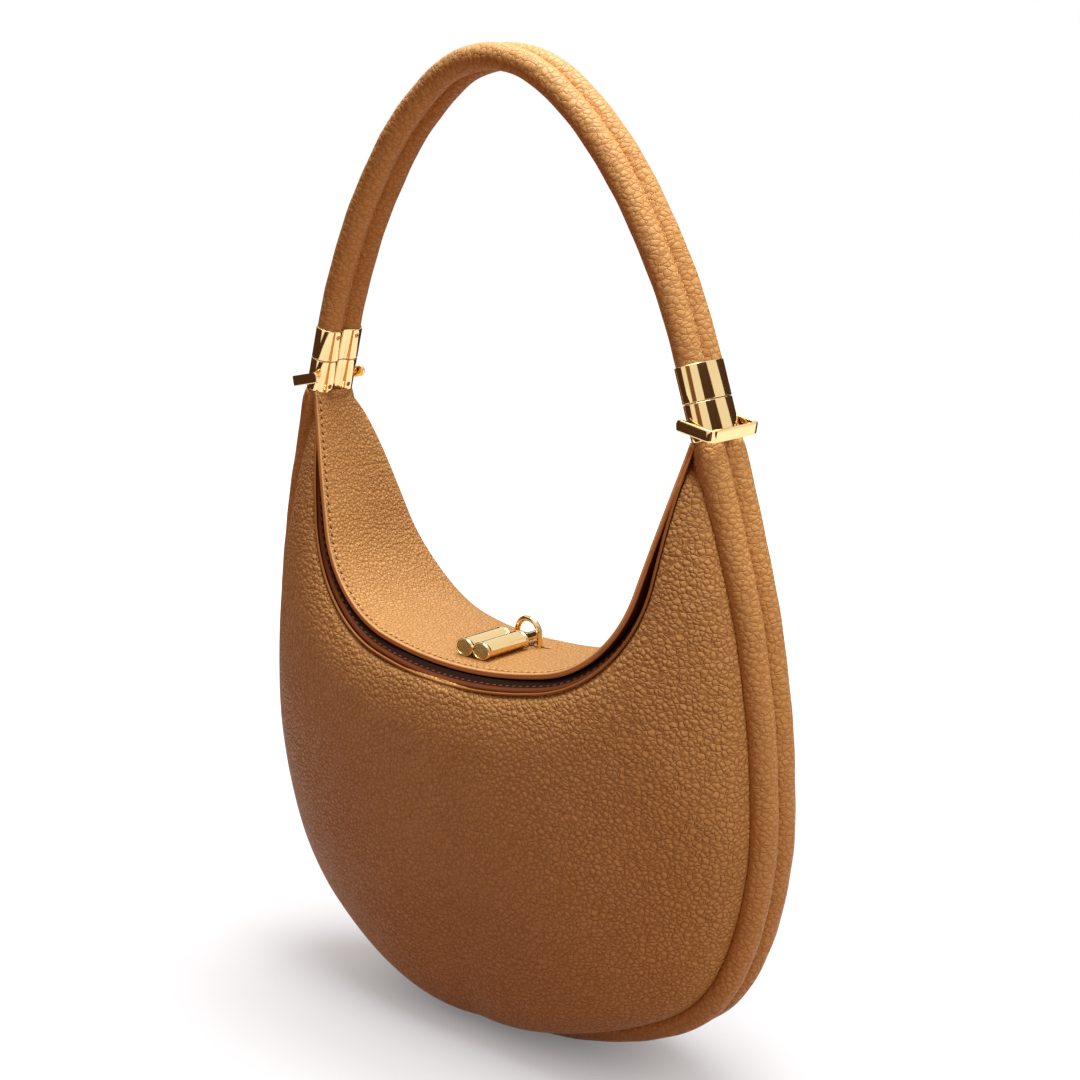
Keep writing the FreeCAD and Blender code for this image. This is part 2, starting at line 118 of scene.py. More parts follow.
def sampled(at, reached, rows):
    """Rows read at the lengths given, where reached is the length of each row along its line."""
    return np.stack([np.interp(at, reached, column) for column in rows.T], axis=-1)


def even(line, count):
    """The line resampled at even steps, and the length reached at each step."""
    reached = lengths(line)
    at = np.linspace(0, reached[-1], count)
    return sampled(at, reached, line), at


def carried(line, out, y):
    """A profile carried along a line in the XZ plane: line + out * left-hand normal, at depth y."""
    tangent = unit(np.gradient(line, axis=0))
    x = line[:, :1] - tangent[:, 1:] * out
    z = line[:, 1:] + tangent[:, :1] * out
    return np.stack([x, np.broadcast_to(y, x.shape), z], axis=-1)


def sleeve(line, along, y, radius, seam, around=44):
    """A stuffed sleeve on a line: centre + r (cos a, sin a), where r dips and swells along the sleeve by
    depth sin(s / length + twist sin(a + phase)). Its UV map is (length, arc) in metres and starts at the
    angle of the seam."""
    a = seam + lap(around)
    s = along[:, None]
    r = radius + sum(depth * np.sin(s / length + twist * np.sin(a + phase))
                     for depth, length, twist, phase in RIPPLES)
    grid = carried(line, r * np.cos(a), y + r * np.sin(a))
    arc = np.linspace(0, 2 * math.pi * TUBE_RADIUS, around + 1)
    return grid, np.stack(np.broadcast_arrays(s, arc), axis=-1) / PER_METRE


def piece(name, shells, finishes, uv=None, welded=False):
    """One mesh object from shells, each (grid in mm, form, finish of each column or one for all). UV is
    given per grid corner, with one more column where the columns wrap. Welding joins points that coincide
    and turns all faces outwards."""
    points, faces, finish = [], [], []
    first = 0
    for grid, (wrap_rows, wrap_columns, capped), number in shells:
        rows, columns = grid.shape[:2]
        index = first + np.arange(rows * columns).reshape(rows, columns)
        ends = [index[0].tolist(), index[-1, ::-1].tolist()] if capped else []
        index = np.vstack([index, index[:1]]) if wrap_rows else index
        index = np.hstack([index, index[:, :1]]) if wrap_columns else index
        quads = np.stack([index[:-1, :-1], index[1:, :-1], index[1:, 1:], index[:-1, 1:]], axis=-1)
        points.append(grid.reshape(-1, 3))
        faces += quads.reshape(-1, 4).tolist() + ends
        finish += np.broadcast_to(number, quads.shape[:2]).ravel().tolist() + [0] * len(ends)
        first += rows * columns
    mesh = bpy.data.meshes.new(name)
    mesh.from_pydata((np.vstack(points) / PER_METRE).tolist(), [], faces)
    for material in finishes:
        mesh.materials.append(material)
    mesh.polygons.foreach_set("material_index", finish)
    mesh.polygons.foreach_set("use_smooth", [True] * len(faces))
    if uv is not None:
        corners = np.stack([uv[:-1, :-1], uv[1:, :-1], uv[1:, 1:], uv[:-1, 1:]], axis=2).reshape(-1, 2)
        flat = np.zeros((len(mesh.loops), 2), np.float32)
        flat[:len(corners)] = corners
        mesh.uv_layers.new(name="arc").data.foreach_set("uv", flat.ravel())
    if welded:
        work = bmesh.new()
        work.from_mesh(mesh)
        bmesh.ops.remove_doubles(work, verts=work.verts, dist=1e-7)
        bmesh.ops.recalc_face_normals(work, faces=work.faces)
        work.to_mesh(mesh)
        work.free()
    obj = bpy.data.objects.new(name, mesh)
    bpy.context.scene.collection.objects.link(obj)
    return obj


def fixed(obj, body, slot, *nodes):
    """The piece rides on a body and stands for the solids named, which are hidden. slot is not used."""
    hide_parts(*nodes)
    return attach(obj, body)


def linear(code):
    """An sRGB hex colour as linear RGBA."""
    part = np.array([int(code[i:i + 2], 16) for i in (1, 3, 5)]) / 255
    part = np.where(part <= 0.04045, part / 12.92, ((part + 0.055) / 1.055) ** 2.4)
    return (*part.tolist(), 1.0)


def connect(tree, made, inputs):
    """Each input of a shader node is linked to another node's output or set to a plain value."""
    for key, value in inputs.items():
        if isinstance(value, bpy.types.NodeSocket):
            tree.links.new(value, made.inputs[key])
        else:
            made.inputs[key].default_value = value


def add(tree, kind, inputs, **settings):
    """The outputs of a new shader node with its settings and inputs."""
    made = tree.nodes.new("ShaderNode" + kind)
    for key, value in settings.items():
        setattr(made, key, value)
    connect(tree, made, inputs)
    return made.outputs


def tint(tree, share, low, high):
    """A mix of two colours by a share."""
    return add(tree, "Mix", {0: share, 6: low, 7: high}, data_type="RGBA")[2]


def noise(tree, at, scale, detail):
    """The outputs of a cloudy noise over coordinates."""
    return add(tree, "TexNoise", {"Vector": at, "Scale": scale, "Detail": detail})


def ranged(tree, value, start, end, to_start, to_end, easing="LINEAR"):
    """A value's range from start to end drawn onto another range."""
    return add(tree, "MapRange", {"Value": value, "From Min": start, "From Max": end, "To Min": to_start,
                                  "To Max": to_end}, interpolation_type=easing)[0]


def new_material(name):
    """A material with nodes: itself, its tree, its shader and its texture coordinates."""
    material = bpy.data.materials.new(name)
    material.use_nodes = True
    tree = material.node_tree
    return material, tree, tree.nodes["Principled BSDF"], add(tree, "TexCoord", {})


TONES = ("#C89558", "#D29F5E")
# Colour of the painted shade in the creases between pebbles
CREASE_SHADE = "#6B360F"
# Shares of a pebble: how far it strays from its place, the creases' widths, and the heights of the ridge and
# the pores
STRAY_SHARE = 1.1
CREASE_SHARES = (0.11, 0.20)
RIDGE_SHARE = 0.6
PORE_SHARE = 0.16
CREASE_ROUGHNESS, TOP_ROUGHNESS = 0.62, 0.44


def pebbled_leather(name, source, pebble, lift, crease_shade):
    """Tumbled calf leather, drum dyed and shrunken: it lies in rounded pebbles with soft thin creases between
    them. Height is a dome in each cell with a crease at its edge, and a slow noise opens and closes the
    creases, which are darkened with painted shade. pebble is a cell's size along each axis, lift its
    height, and the last value the share of painted shade in the creases."""
    material, tree, shader, coords = new_material(name)
    cells = [PER_METRE / size for size in pebble]
    scaled = add(tree, "Mapping", {"Vector": coords[source], "Scale": cells})[0]
    drift = noise(tree, scaled, 0.6, 2.0)["Color"]
    bent = add(tree, "VectorMath", {0: drift, 1: [STRAY_SHARE] * 3}, operation="MULTIPLY")[0]
    spot = add(tree, "VectorMath", {0: scaled, 1: bent}, operation="ADD")[0]
    edge = add(tree, "TexVoronoi", {"Vector": spot, "Scale": 1.0}, feature="DISTANCE_TO_EDGE")["Distance"]
    heart = add(tree, "TexVoronoi", {"Vector": spot, "Scale": 1.0, "Smoothness": 0.5},
                feature="SMOOTH_F1")["Distance"]
    width = ranged(tree, noise(tree, scaled, 0.13, 2.0)[0], 0.35, 0.65, *CREASE_SHARES)
    top = ranged(tree, edge, 0.0, width, 0.0, 1.0, "SMOOTHSTEP")
    crown = ranged(tree, heart, 0.8, 0.05, 0.0, 1.0, "SMOOTHSTEP")
    pores = noise(tree, scaled, 3.5, 3.0)[0]
    domed = add(tree, "Math", {0: top, 1: RIDGE_SHARE, 2: crown}, operation="MULTIPLY_ADD")[0]
    height = add(tree, "Math", {0: pores, 1: PORE_SHARE, 2: domed}, operation="MULTIPLY_ADD")[0]
    bump = add(tree, "Bump", {"Height": height, "Strength": 1.0, "Distance": lift / PER_METRE})[0]
    patch = tint(tree, noise(tree, coords["Object"], 22.0, 4.0)[0], linear(TONES[0]), linear(TONES[1]))
    # The creases are darkened towards that colour: painted shade.
    surface_colour = tint(tree, ranged(tree, top, 0.0, 1.0, crease_shade, 0.0), patch, linear(CREASE_SHADE))
    gloss = ranged(tree, top, 0.0, 1.0, CREASE_ROUGHNESS, TOP_ROUGHNESS)
    connect(tree, shader, {"Base Color": surface_colour, "Roughness": gloss, "Normal": bump, "IOR": 1.45,
                           "Specular IOR Level": 0.32})
    return material


# On a sleeve the pebbles are drawn out round the tube. Each collar pinches the rolls, which swell by a
# millimetre just below it and settle over the next 80 mm.
roll_leather = pebbled_leather("pebbled_calf_on_sleeves", "UV", (2.2, 2.9, 1), lift=0.28, crease_shade=0.23)
ROLL_RADIUS = 5.8
ROLL_SWELL = 1.0
SWELL_ONSET = 3.0
SWELL_FADE = 40.0
SWELL_SPREAD = 0.9
roll_line, roll_along = even(both_sides(loop_line(0, LOWER_LENGTH - COLLAR_SEAM)), 540)
below_collar = np.clip(np.minimum(roll_along, roll_along[-1] - roll_along) - LOWER_LENGTH, 0, None)[:, None]
swell = ROLL_SWELL * np.exp(-below_collar / SWELL_FADE) * (1 - np.exp(-below_collar / SWELL_ONSET))
for side, sign, seam in (("front", -1, math.pi / 2), ("back", 1, -math.pi / 2)):
    roll_y = sign * (TUBE_Y + SWELL_SPREAD * swell)
    grid, uv = sleeve(roll_line, roll_along, roll_y, ROLL_RADIUS + swell, seam)
    grid[..., 2] = np.maximum(grid[..., 2], 0)
    roll = piece(f"{side}_edge_roll", [(grid, TUBE, 0)], [roll_leather], uv)
    fixed(roll, "bag", "tan_leather", f"{side}_roll", f"{side}_roll_core")

# Gusset strip: a band of the same leather inside the rolls that joins the two panels from collar to collar.
# It shows only to someone who looks down into the open bag.
STRIP_INSET = 6.0
STRIP_THICKNESS = 1.4
body_leather = pebbled_leather("pebbled_calf", "Object", (2.6, 2.4, 2.1), lift=0.50, crease_shade=0.32)
strip_line = even(both_sides(loop_line(STRIP_INSET)), 240)[0]
strip_out = np.array([[0.0, 0.0, STRIP_THICKNESS, STRIP_THICKNESS]])
strip_y = np.array([[TUBE_Y, -TUBE_Y, -TUBE_Y, TUBE_Y]])
strip_grid = carried(strip_line, strip_out, strip_y)
strip = piece("inner_gusset", [(strip_grid, TUBE, 0)], [body_leather], welded=True)
fixed(strip, "bag", "tan_leather", "gusset_strip")

# Panels: front and back crescents of pebbled leather on a brown cloth lining. They swell steeply out of the
# rolls and stand full over the belly, and the slack leather hangs out over the rolls at the foot.
PANEL_DEPTH = 34.0
WAIST_Z = 131.54
LEATHER = 1.6
CLOTH = 1.0
LAYER_GAP = 0.1
HORN_Z = 278.5
MOUTH_Z = 168.9
MOUTH_BOTTOM = (240.0, 12.0)
MOUTH_CORNER = 66.0
MOUTH_TURN = 68.0
MOUTH_RUN = 80.0
FLAP_RISE = 7.8
FLAP_TURN = 61.0
FLAP_RUN = 64.5
EDGE_INSET = 3.2
RIM_INSET = EDGE_INSET + 1.0
EDGE_LOW = 4.6
# Roundness of a panel's section: the power at the horns, what is added near the foot, and where, in degrees
# from the foot
ROUND_POWER, ROUND_GAIN = 2.25, 1.8
ROUND_BEARING, ROUND_SPREAD = 20.0, 24.0
SHOULDER, SHOULDER_WIDTH, SHOULDER_SPAN = 4.4, 24.0, 100.0
BELLY, BELLY_SPAN = 2.0, 150.0
HANG, HANG_BEARING, HANG_SPREAD = 4.6, 8.0, 22.0
SLACK, SLACK_ACROSS, SLACK_TWIST, SLACK_BEND, SLACK_UP = 0.5, 17.0, 0.8, 23.0, 19.0
TUCK, TUCK_WIDTH = 0.9, 2.0
CROWDING = 2.2
outline = both_sides(loop_line(STRIP_INSET, COLLAR_LENGTH))
outline_bearing = np.arctan2(outline[:, 0], WAIST_Z - outline[:, 1])
outline_reach = np.hypot(outline[:, 0], outline[:, 1] - WAIST_Z)


def bulge(x, z, layer=0.0):
    """How far a panel's mouth stands out of the rolls' plane at (x, z): depth sqrt(1 - (r / R)^2), where r is
    the distance from the waist's centre and R the outline's reach on that bearing. The layers outside are
    taken off the depth and R."""
    reach = np.interp(np.arctan2(x, WAIST_Z - z), outline_bearing, outline_reach) - layer
    share = np.hypot(x, z - WAIST_Z) / reach
    return (PANEL_DEPTH - layer) * np.sqrt(np.clip(1 - share ** 2, 0, None))


def mouth_line(rise, side_turn, drop, run=MOUTH_RUN):
    """The U-shaped mouth from left to right, moved up by rise and then down and out by drop."""
    radius, turn = MOUTH_BOTTOM
    steps = [(radius - rise + drop, turn), (MOUTH_CORNER - rise + drop, side_turn), (None, run)]
    return both_sides(walk((0, MOUTH_Z + rise - drop), 0, steps))


def seam_limit(z, inset):
    """The half width at height z of a line inset from the rolls' centre line."""
    seam = loop_line(inset)
    return np.interp(z, seam[:, 1], seam[:, 0])


def below_horn(line, inset=None):
    """A full line cut off where the panel's horns end under the collars and, with an inset, kept inside the
    seam."""
    line = line[line[:, 1] <= HORN_Z]
    if inset is None:
        return line
    limit = seam_limit(line[:, 1], inset)
    return np.stack([np.clip(line[:, 0], -limit, limit), line[:, 1]], axis=-1)


def smooth(low, high, value):
    """0 below low, 1 above high, and 3 t^2 - 2 t^3 between them."""
    t = np.clip((value - low) / (high - low), 0, 1)
    return t * t * (3 - 2 * t)


def bell(value, middle, width):
    """A hump of height 1 in the middle: exp(-((value - middle) / width)^2)."""
    return np.exp(-((value - middle) / width) ** 2)


def crescent(rim, deep, side, layer, rows=360, columns=72, tuck=0.0):
    """A panel between the roll and its mouth line: straight shares v from edge to mouth in XZ, crowded at the
    edge and stood out by low + (deep - low) (1 - (1 - v)^p)^(1 / p), where p is largest on both sides of the
    foot. A shoulder falls in to the mouth as a square, a belly sin(pi v) is added on the long lower part, the
    leather half way out hangs down over the rolls at the foot, a little more on the left of each side, and
    the edge of the mouth tucks in."""
    edge = even(below_horn(both_sides(loop_line(EDGE_INSET + layer))), rows)[0]
    rim = even(np.column_stack([rim, np.maximum(deep - layer, EDGE_LOW)]), rows)[0]
    v = np.linspace(0, 1, columns)[None] ** CROWDING
    flat = edge[:, None] * (1 - v[..., None]) + rim[:, None, :2] * v[..., None]
    bearing = np.degrees(np.arctan2(edge[:, :1], WAIST_Z - edge[:, 1:]))
    power = ROUND_POWER + ROUND_GAIN * bell(np.abs(bearing), ROUND_BEARING, ROUND_SPREAD)
    share = (1 - (1 - v) ** power) ** (1 / power)
    span = np.linalg.norm(rim[:, :2] - edge, axis=1)[:, None]
    below_rim = span * (1 - v)
    stand = EDGE_LOW + (rim[:, 2:] - EDGE_LOW) * share
    rolled = 1 - (1 - np.clip(below_rim / SHOULDER_WIDTH, 0, 1)) ** 2
    stand = stand + SHOULDER * np.clip(span / SHOULDER_SPAN, 0, 1) * rolled * share
    stand = stand + BELLY * np.clip(span / BELLY_SPAN, 0, 1) ** 2 * np.sin(math.pi * v)
    hang = HANG * bell(bearing, side * HANG_BEARING, HANG_SPREAD)
    hang = hang * np.sin(math.pi * np.clip((stand - EDGE_LOW) / PANEL_DEPTH, 0, 1))
    x, z = flat[..., 0], flat[..., 1]
    wave = np.sin(x / SLACK_ACROSS + SLACK_TWIST * np.sin(z / SLACK_BEND))
    slack = SLACK * wave * np.sin(z / SLACK_UP + 1)
    stand = stand + slack * share * (1 - v) - tuck * np.clip(1 - below_rim / TUCK_WIDTH, 0, 1) ** 2
    spread = 1 + hang / np.hypot(x, z - WAIST_Z)
    return np.stack([x * spread, side * (TUBE_Y + stand), WAIST_Z + (z - WAIST_Z) * spread], axis=-1)


def thickened(obj, thickness):
    """A wall of that many millimetres behind the faces."""
    wall = obj.modifiers.new("wall", "SOLIDIFY")
    wall.thickness = thickness / PER_METRE
    wall.offset = -1
    return obj


RIB_WIDTH = 0.9


def woven_lining(name, tone, dark):
    """Brown cotton twill: fine diagonal ribs, wide enough to show. A wave has 20 radians to a unit."""
    material, tree, shader, coords = new_material(name)
    slanted = add(tree, "Mapping", {"Vector": coords["Object"], "Rotation": (0.6, 0.8, 0.4)})[0]
    ribs = PER_METRE / RIB_WIDTH / 20
    rib = add(tree, "TexWave", {"Vector": slanted, "Scale": ribs, "Distortion": 0.6})["Fac"]
    bump = add(tree, "Bump", {"Height": rib, "Strength": 0.4, "Distance": 0.0002})[0]
    surface_colour = tint(tree, rib, linear(dark), linear(tone))
    connect(tree, shader, {"Base Color": surface_colour, "Normal": bump, "Roughness": 0.9})
    return material


# The flap's fold: its depth at the centre, the shares of the wing between which it fades out, its clearance,
# the half width of the horns, and the fuller shoulder with its place and width as shares of the wing
FOLD_DEPTH, FOLD_FLAT_SHARE, FOLD_GONE_SHARE = 7.5, 0.1, 0.65
FOLD_CLEARANCE, HORN_HALF = 0.3, 5.5
FOLD_SHOULDER, SHOULDER_AT_SHARE, SHOULDER_WIDE_SHARE = 2.0, 0.47, 0.14


def flap_trough(count):
    """The flap's middle line from horn to horn, and each point's share of the way from centre to horn."""
    line, along = even(mouth_line(FLAP_RISE, FLAP_TURN, 0, FLAP_RUN), count)
    return line, np.abs(along / along[-1] * 2 - 1)[:, None]


def fold_reach(line, share):
    """How far back the flap's fold lies: the mouth's bulge, a little more on the shoulders and never less
    than the horns' half width."""
    deep = np.maximum(bulge(line[:, :1], line[:, 1:]), HORN_HALF)
    fuller = FOLD_SHOULDER * bell(share, SHOULDER_AT_SHARE, SHOULDER_WIDE_SHARE)
    return TUBE_Y + FOLD_CLEARANCE + deep + fuller


def fold_drop(share):
    """How far the fold lies below the flap's middle line: its depth at the centre, nothing on the wings."""
    return FOLD_DEPTH * (1 - smooth(FOLD_FLAT_SHARE, FOLD_GONE_SHARE, share))


lining_cloth = woven_lining("brown_twill", "#5A3720", "#442716")
FACING_WIDTH = 16.0
FRONT_DROP = 1.0
inner_layer = LEATHER + CLOTH + LAYER_GAP
lining_inset = RIM_INSET + inner_layer
front_rim = below_horn(mouth_line(0, MOUTH_TURN, FRONT_DROP), RIM_INSET)
front_grid = crescent(front_rim, bulge(front_rim[:, 0], front_rim[:, 1]), -1, 0.0, tuck=TUCK)
front = thickened(piece("front_crescent", [(front_grid, SHEET, 0)], [body_leather]), LEATHER)
fixed(front, "bag", "tan_leather", "front_panel")
# The back panel's upper edge goes in under the flap's fold and turns inwards there, in steps of (inwards,
# upwards). The turn is smaller towards the horns.
UNDER_FOLD, BEHIND_FOLD = 3.4, 1.2
TURN_IN = np.array([[5.5, 1.6], [3.5, 0.9], [1.5, 0.2]])
TURN_LOSS, TURN_FULL_SHARE, TURN_LOW_SHARE = 0.8, 0.3, 0.7
trough, trough_share = flap_trough(400)
back_out = -fold_drop(trough_share) - UNDER_FOLD
back_edge = carried(trough, back_out, fold_reach(trough, trough_share) - BEHIND_FOLD)[:, 0]
back_rim = below_horn(back_edge[:, [0, 2]], RIM_INSET)
back_deep = back_edge[back_edge[:, 2] <= HORN_Z, 1] - TUBE_Y
back_grid = crescent(back_rim, back_deep, 1, 0.0)[:, ::-1]
lip_share = np.abs(np.linspace(-1, 1, len(back_grid)))[:, None, None]
lip_turn = np.stack([0 * TURN_IN[:, 0], -TURN_IN[:, 0], TURN_IN[:, 1]], axis=-1)
lip = back_grid[:, :1] + lip_turn * (1 - TURN_LOSS * smooth(TURN_FULL_SHARE, TURN_LOW_SHARE, lip_share))
back_grid = np.concatenate([lip, back_grid], axis=1)
back = thickened(piece("back_crescent", [(back_grid, SHEET, 0)], [body_leather]), LEATHER)
fixed(back, "bag", "tan_leather", "back_panel")
lining_rim = below_horn(mouth_line(0, MOUTH_TURN, FACING_WIDTH), lining_inset)
lining_deep = bulge(lining_rim[:, 0], lining_rim[:, 1])
for side, sign, rim, deep in (("front", -1, lining_rim, lining_deep), ("back", 1, back_rim, back_deep)):
    grid = crescent(rim, deep, sign, inner_layer, 200, 40)[:, ::sign]
    lining = piece(f"{side}_cloth_lining", [(grid, SHEET, 0)], [lining_cloth])
    fixed(thickened(lining, CLOTH), "bag", "lining", f"{side}_lining")

# Rim of the mouth: the front panel's upper edge is turned over a thin cord, and a strip of smooth brown
# leather faces it inside. The facing stands a little above the rim, leans in under the flap and is sewn
# with waxed thread. Its upper edge is coloured near black as painted shade under the flap.
PORE_SIZE = 0.5


def smooth_leather(name, tone, deep, roughness):
    """Smooth vegetable-tanned leather, a painted edge or waxed thread: faint pores and slow clouding."""
    material, tree, shader, coords = new_material(name)
    cloud = noise(tree, coords["Object"], 60.0, 4.0)[0]
    pores = noise(tree, coords["Object"], PER_METRE / PORE_SIZE, 2.0)[0]
    bump = add(tree, "Bump", {"Height": pores, "Strength": 0.25, "Distance": 0.0001})[0]
    connect(tree, shader, {"Base Color": tint(tree, cloud, linear(tone), linear(deep)), "Normal": bump,
                           "Roughness": roughness, "Specular IOR Level": 0.2})
    return material


SLOPE_STEP = 0.5


def on_panel(line, side):
    """Points of a panel's mouth over a line in XZ, and outward normals there from the slope of bulge."""
    x, z = line[:, 0], line[:, 1]
    points = np.stack([x, side * (TUBE_Y + bulge(x, z)), z], axis=-1)
    slope_x = bulge(x - SLOPE_STEP, z) - bulge(x + SLOPE_STEP, z)
    slope_z = bulge(x, z - SLOPE_STEP) - bulge(x, z + SLOPE_STEP)
    return points, unit(np.stack([slope_x, np.full_like(x, side), slope_z], axis=-1))


STITCH_PITCH = 3.7


def stitch_row(name, points, normals, finish, first=0.0, length=1.9, width=0.8, height=0.3, slant=0.22):
    """Stitches along a line of points: small ellipsoids, half sunk, laid end to end at an even pitch from a
    first share of it, and slanted by a slight angle as a saddle stitch is."""
    reached = lengths(points)
    at = np.arange(STITCH_PITCH * (1 + first), reached[-1] - STITCH_PITCH, STITCH_PITCH)
    spot = sampled(at, reached, points)
    up = sampled(at, reached, normals)
    ahead = unit(sampled(at + SLOPE_STEP, reached, points) - spot)
    ahead = ahead * math.cos(slant) + np.cross(up, ahead) * math.sin(slant)
    across = np.cross(up, ahead)
    a = np.linspace(0, math.pi, 7)[:, None]
    b = lap(8)
    lengthwise = -np.cos(a) * np.ones_like(b) * length / 2
    crosswise = np.sqrt(np.sin(a)) * np.cos(b) * width / 2
    upward = np.sqrt(np.sin(a)) * np.sin(b) * height
    grids = (spot[:, None, None] + ahead[:, None, None] * lengthwise[..., None]
             + across[:, None, None] * crosswise[..., None] + up[:, None, None] * upward[..., None])
    return piece(name, [(grid, LATHE, 0) for grid in grids], [finish], welded=True)


rim_leather = smooth_leather("turned_leather_rim", "#A8703C", "#98622F", 0.6)
facing_leather = smooth_leather("smooth_brown_leather", "#7A4420", "#6A3818", 0.75)
# Near-black leather: painted shade under the flap, on the facing's upper edge
flap_shadow_leather = smooth_leather("facing_edge_painted_shadow", "#2E1406", "#220D04", 0.8)
facing_thread = smooth_leather("brown_waxed_thread", "#84502A", "#74431F", 0.7)
CORD_RADIUS, CORD_SUNK, CORD_DROP = 0.6, 0.4, 0.5
FACING_STAND, FACING_LEAN = 4.2, 4.2
FACING_STEPS = np.array([[1.0, 3.0, 7.0, 11.5, FACING_WIDTH]])
STAND_COLUMNS = 6
BARE, FLAP_SHADOW = 0, 1
UNSEWN_ROWS = 8
rim_line = even(below_horn(mouth_line(0, MOUTH_TURN, CORD_DROP), RIM_INSET), 320)[0]
rim_points, rim_normals = on_panel(rim_line, -1)
rim_up = np.cross(rim_normals, unit(np.gradient(rim_points, axis=0)))
turn = lap(12)[:, None]
cord_grid = (rim_points[:, None] + rim_normals[:, None] * (CORD_RADIUS * np.cos(turn) - CORD_SUNK)
             + rim_up[:, None] * CORD_RADIUS * np.sin(turn))
cord = piece("mouth_rim", [(cord_grid, TUBE, 0)], [rim_leather], welded=True)
fixed(cord, "bag", "tan_leather", "front_rim_band")
facing_line, facing_along = even(below_horn(mouth_line(0, MOUTH_TURN, 0)), 300)
facing_taper = 1 - np.abs(facing_along / facing_along[-1] * 2 - 1)[:, None] ** 3
above = np.linspace(1, 0, STAND_COLUMNS)[None]
facing_out = np.hstack([FACING_STAND * above * facing_taper, -FACING_STEPS * np.ones_like(facing_taper)])
facing_grid = carried(facing_line, facing_out, 0.0)
rim_stand = bulge(facing_line[:, :1], facing_line[:, 1:])
lean_in = LEATHER + LAYER_GAP + FACING_LEAN * above * facing_taper
low_stand = bulge(facing_grid[:, STAND_COLUMNS:, 0], facing_grid[:, STAND_COLUMNS:, 2], inner_layer)
facing_grid[..., 1] = -TUBE_Y - np.hstack([np.maximum(rim_stand - lean_in, 0), low_stand])
limit = seam_limit(facing_grid[..., 2], lining_inset)
facing_grid[..., 0] = np.clip(facing_grid[..., 0], -limit, limit)
# The facing's three upper bands take that painted shade
facing_finish = np.array([BARE] * 7 + [FLAP_SHADOW] * 3)
facing_shell = (facing_grid[:, ::-1], SHEET, facing_finish)
facing = piece("mouth_facing", [facing_shell], [facing_leather, flap_shadow_leather])
fixed(thickened(facing, CLOTH), "bag", "tan_leather", "front_facing")
row_high, row_low = (facing_grid[UNSEWN_ROWS:-UNSEWN_ROWS, column] for column in (2, 3))
row_points = (row_high + row_low) / 2
row_normals = unit(np.cross(np.gradient(row_points, axis=0), row_high - row_low))
facing_stitches = stitch_row("facing_stitches", row_points, row_normals, facing_thread)
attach(facing_stitches, "bag")

# Flap: one saddle of pebbled leather, smooth and brown below. It folds over the mouth from the back panel's
# upper edge, and its two wings run up to the collars. The cut edge shows a painted band, with a lighter
# upper rounding that is a painted highlight, and a row of stitches runs 2 mm inside it.
FLAP_TOP = MOUTH_Z + FLAP_RISE
FLAP_THICKNESS = 2.6
LOCK_X = 4.3
STAPLE_Y = 7.2
HALF_SPAN = 6.7
WING_FRONT, TONGUE_FRONT = 12.2, 21.3
TONGUE_POWER, TONGUE_TAPER = 2.2, 1.15
FALL_FROM_Y = 8.0
CURL, CURL_WIDTH = 2.0, 8.0
LIP_DROP, LIP_WIDTH = 0.5, 6.0
CROWN, CROWN_Y, CROWN_LONG, CROWN_WIDE = 1.8, 18.0, 7.0, 26.0
SEAM_INSET = 2.1
flap_line, wing_share = flap_trough(300)
flap_front = -(WING_FRONT + TONGUE_FRONT * (1 - wing_share ** TONGUE_POWER) ** TONGUE_TAPER)
flap_back = fold_reach(flap_line, wing_share)


def flap_dip(y):
    """How far the flap's top lies below its middle line: it falls as a square to the fold behind the lock,
    curls over near the fold and a little at the front edge, and rises in a low crown behind the staple."""
    back = np.clip((y - FALL_FROM_Y) / np.maximum(flap_back - FALL_FROM_Y, 1), 0, 1)
    near = np.clip((CURL_WIDTH - (flap_back - y)) / CURL_WIDTH, 0, 1)
    lip = np.clip((LIP_WIDTH - (y - flap_front)) / LIP_WIDTH, 0, 1)
    crown = CROWN * bell(y, CROWN_Y, CROWN_LONG) * bell(flap_line[:, :1], LOCK_X, CROWN_WIDE)
    falling = fold_drop(wing_share) * back ** 2 + CURL * (1 - np.sqrt(1 - near ** 2))
    return falling + LIP_DROP * lip ** 2 - crown


flap_leather = pebbled_leather("fine_pebbled_calf", "Object", (2.0, 1.9, 1.7), lift=0.43, crease_shade=0.26)
# A lighter tone on the upper rounding of the cut edge: a painted highlight
edge_highlight_leather = smooth_leather("edge_lip_painted_highlight", "#EDBB80", "#E2AD70", 0.5)
edge_paint = smooth_leather("painted_leather_edge", "#D2945A", "#C2834A", 0.5)
# Profiles of the front and the back edge: how far each point lies in from the edge and down from the top
FRONT_IN = np.array([[0.2, 0.0, 0.0, 0.02, 0.22, 0.02, 0.0, 0.16]])
FRONT_DOWN = np.array([[2.5, 2.25, 1.8, 1.45, 1.25, 1.05, 0.6, 0.2]])
BACK_IN = np.array([[0.16, 0.0, 0.0, 0.0, 0.16]])
BACK_DOWN = np.array([[0.22, 0.6, 1.3, 2.0, 2.35]])
FRONT_MARGIN, BACK_MARGIN = 0.55, 0.35
across_top = np.sin(np.linspace(-math.pi / 2, math.pi / 2, 60)) * 0.5 + 0.5
top_y = flap_front + FRONT_MARGIN + (flap_back - flap_front - FRONT_MARGIN - BACK_MARGIN) * across_top
under_y = top_y[:, ::2][:, ::-1]
top_out = -flap_dip(top_y)
under_out = -flap_dip(under_y) - FLAP_THICKNESS
flap_y = np.hstack([top_y, flap_back - BACK_IN, under_y, flap_front + FRONT_IN])
flap_out = np.hstack([top_out, top_out[:, -1:] - BACK_DOWN, under_out, top_out[:, :1] - FRONT_DOWN])
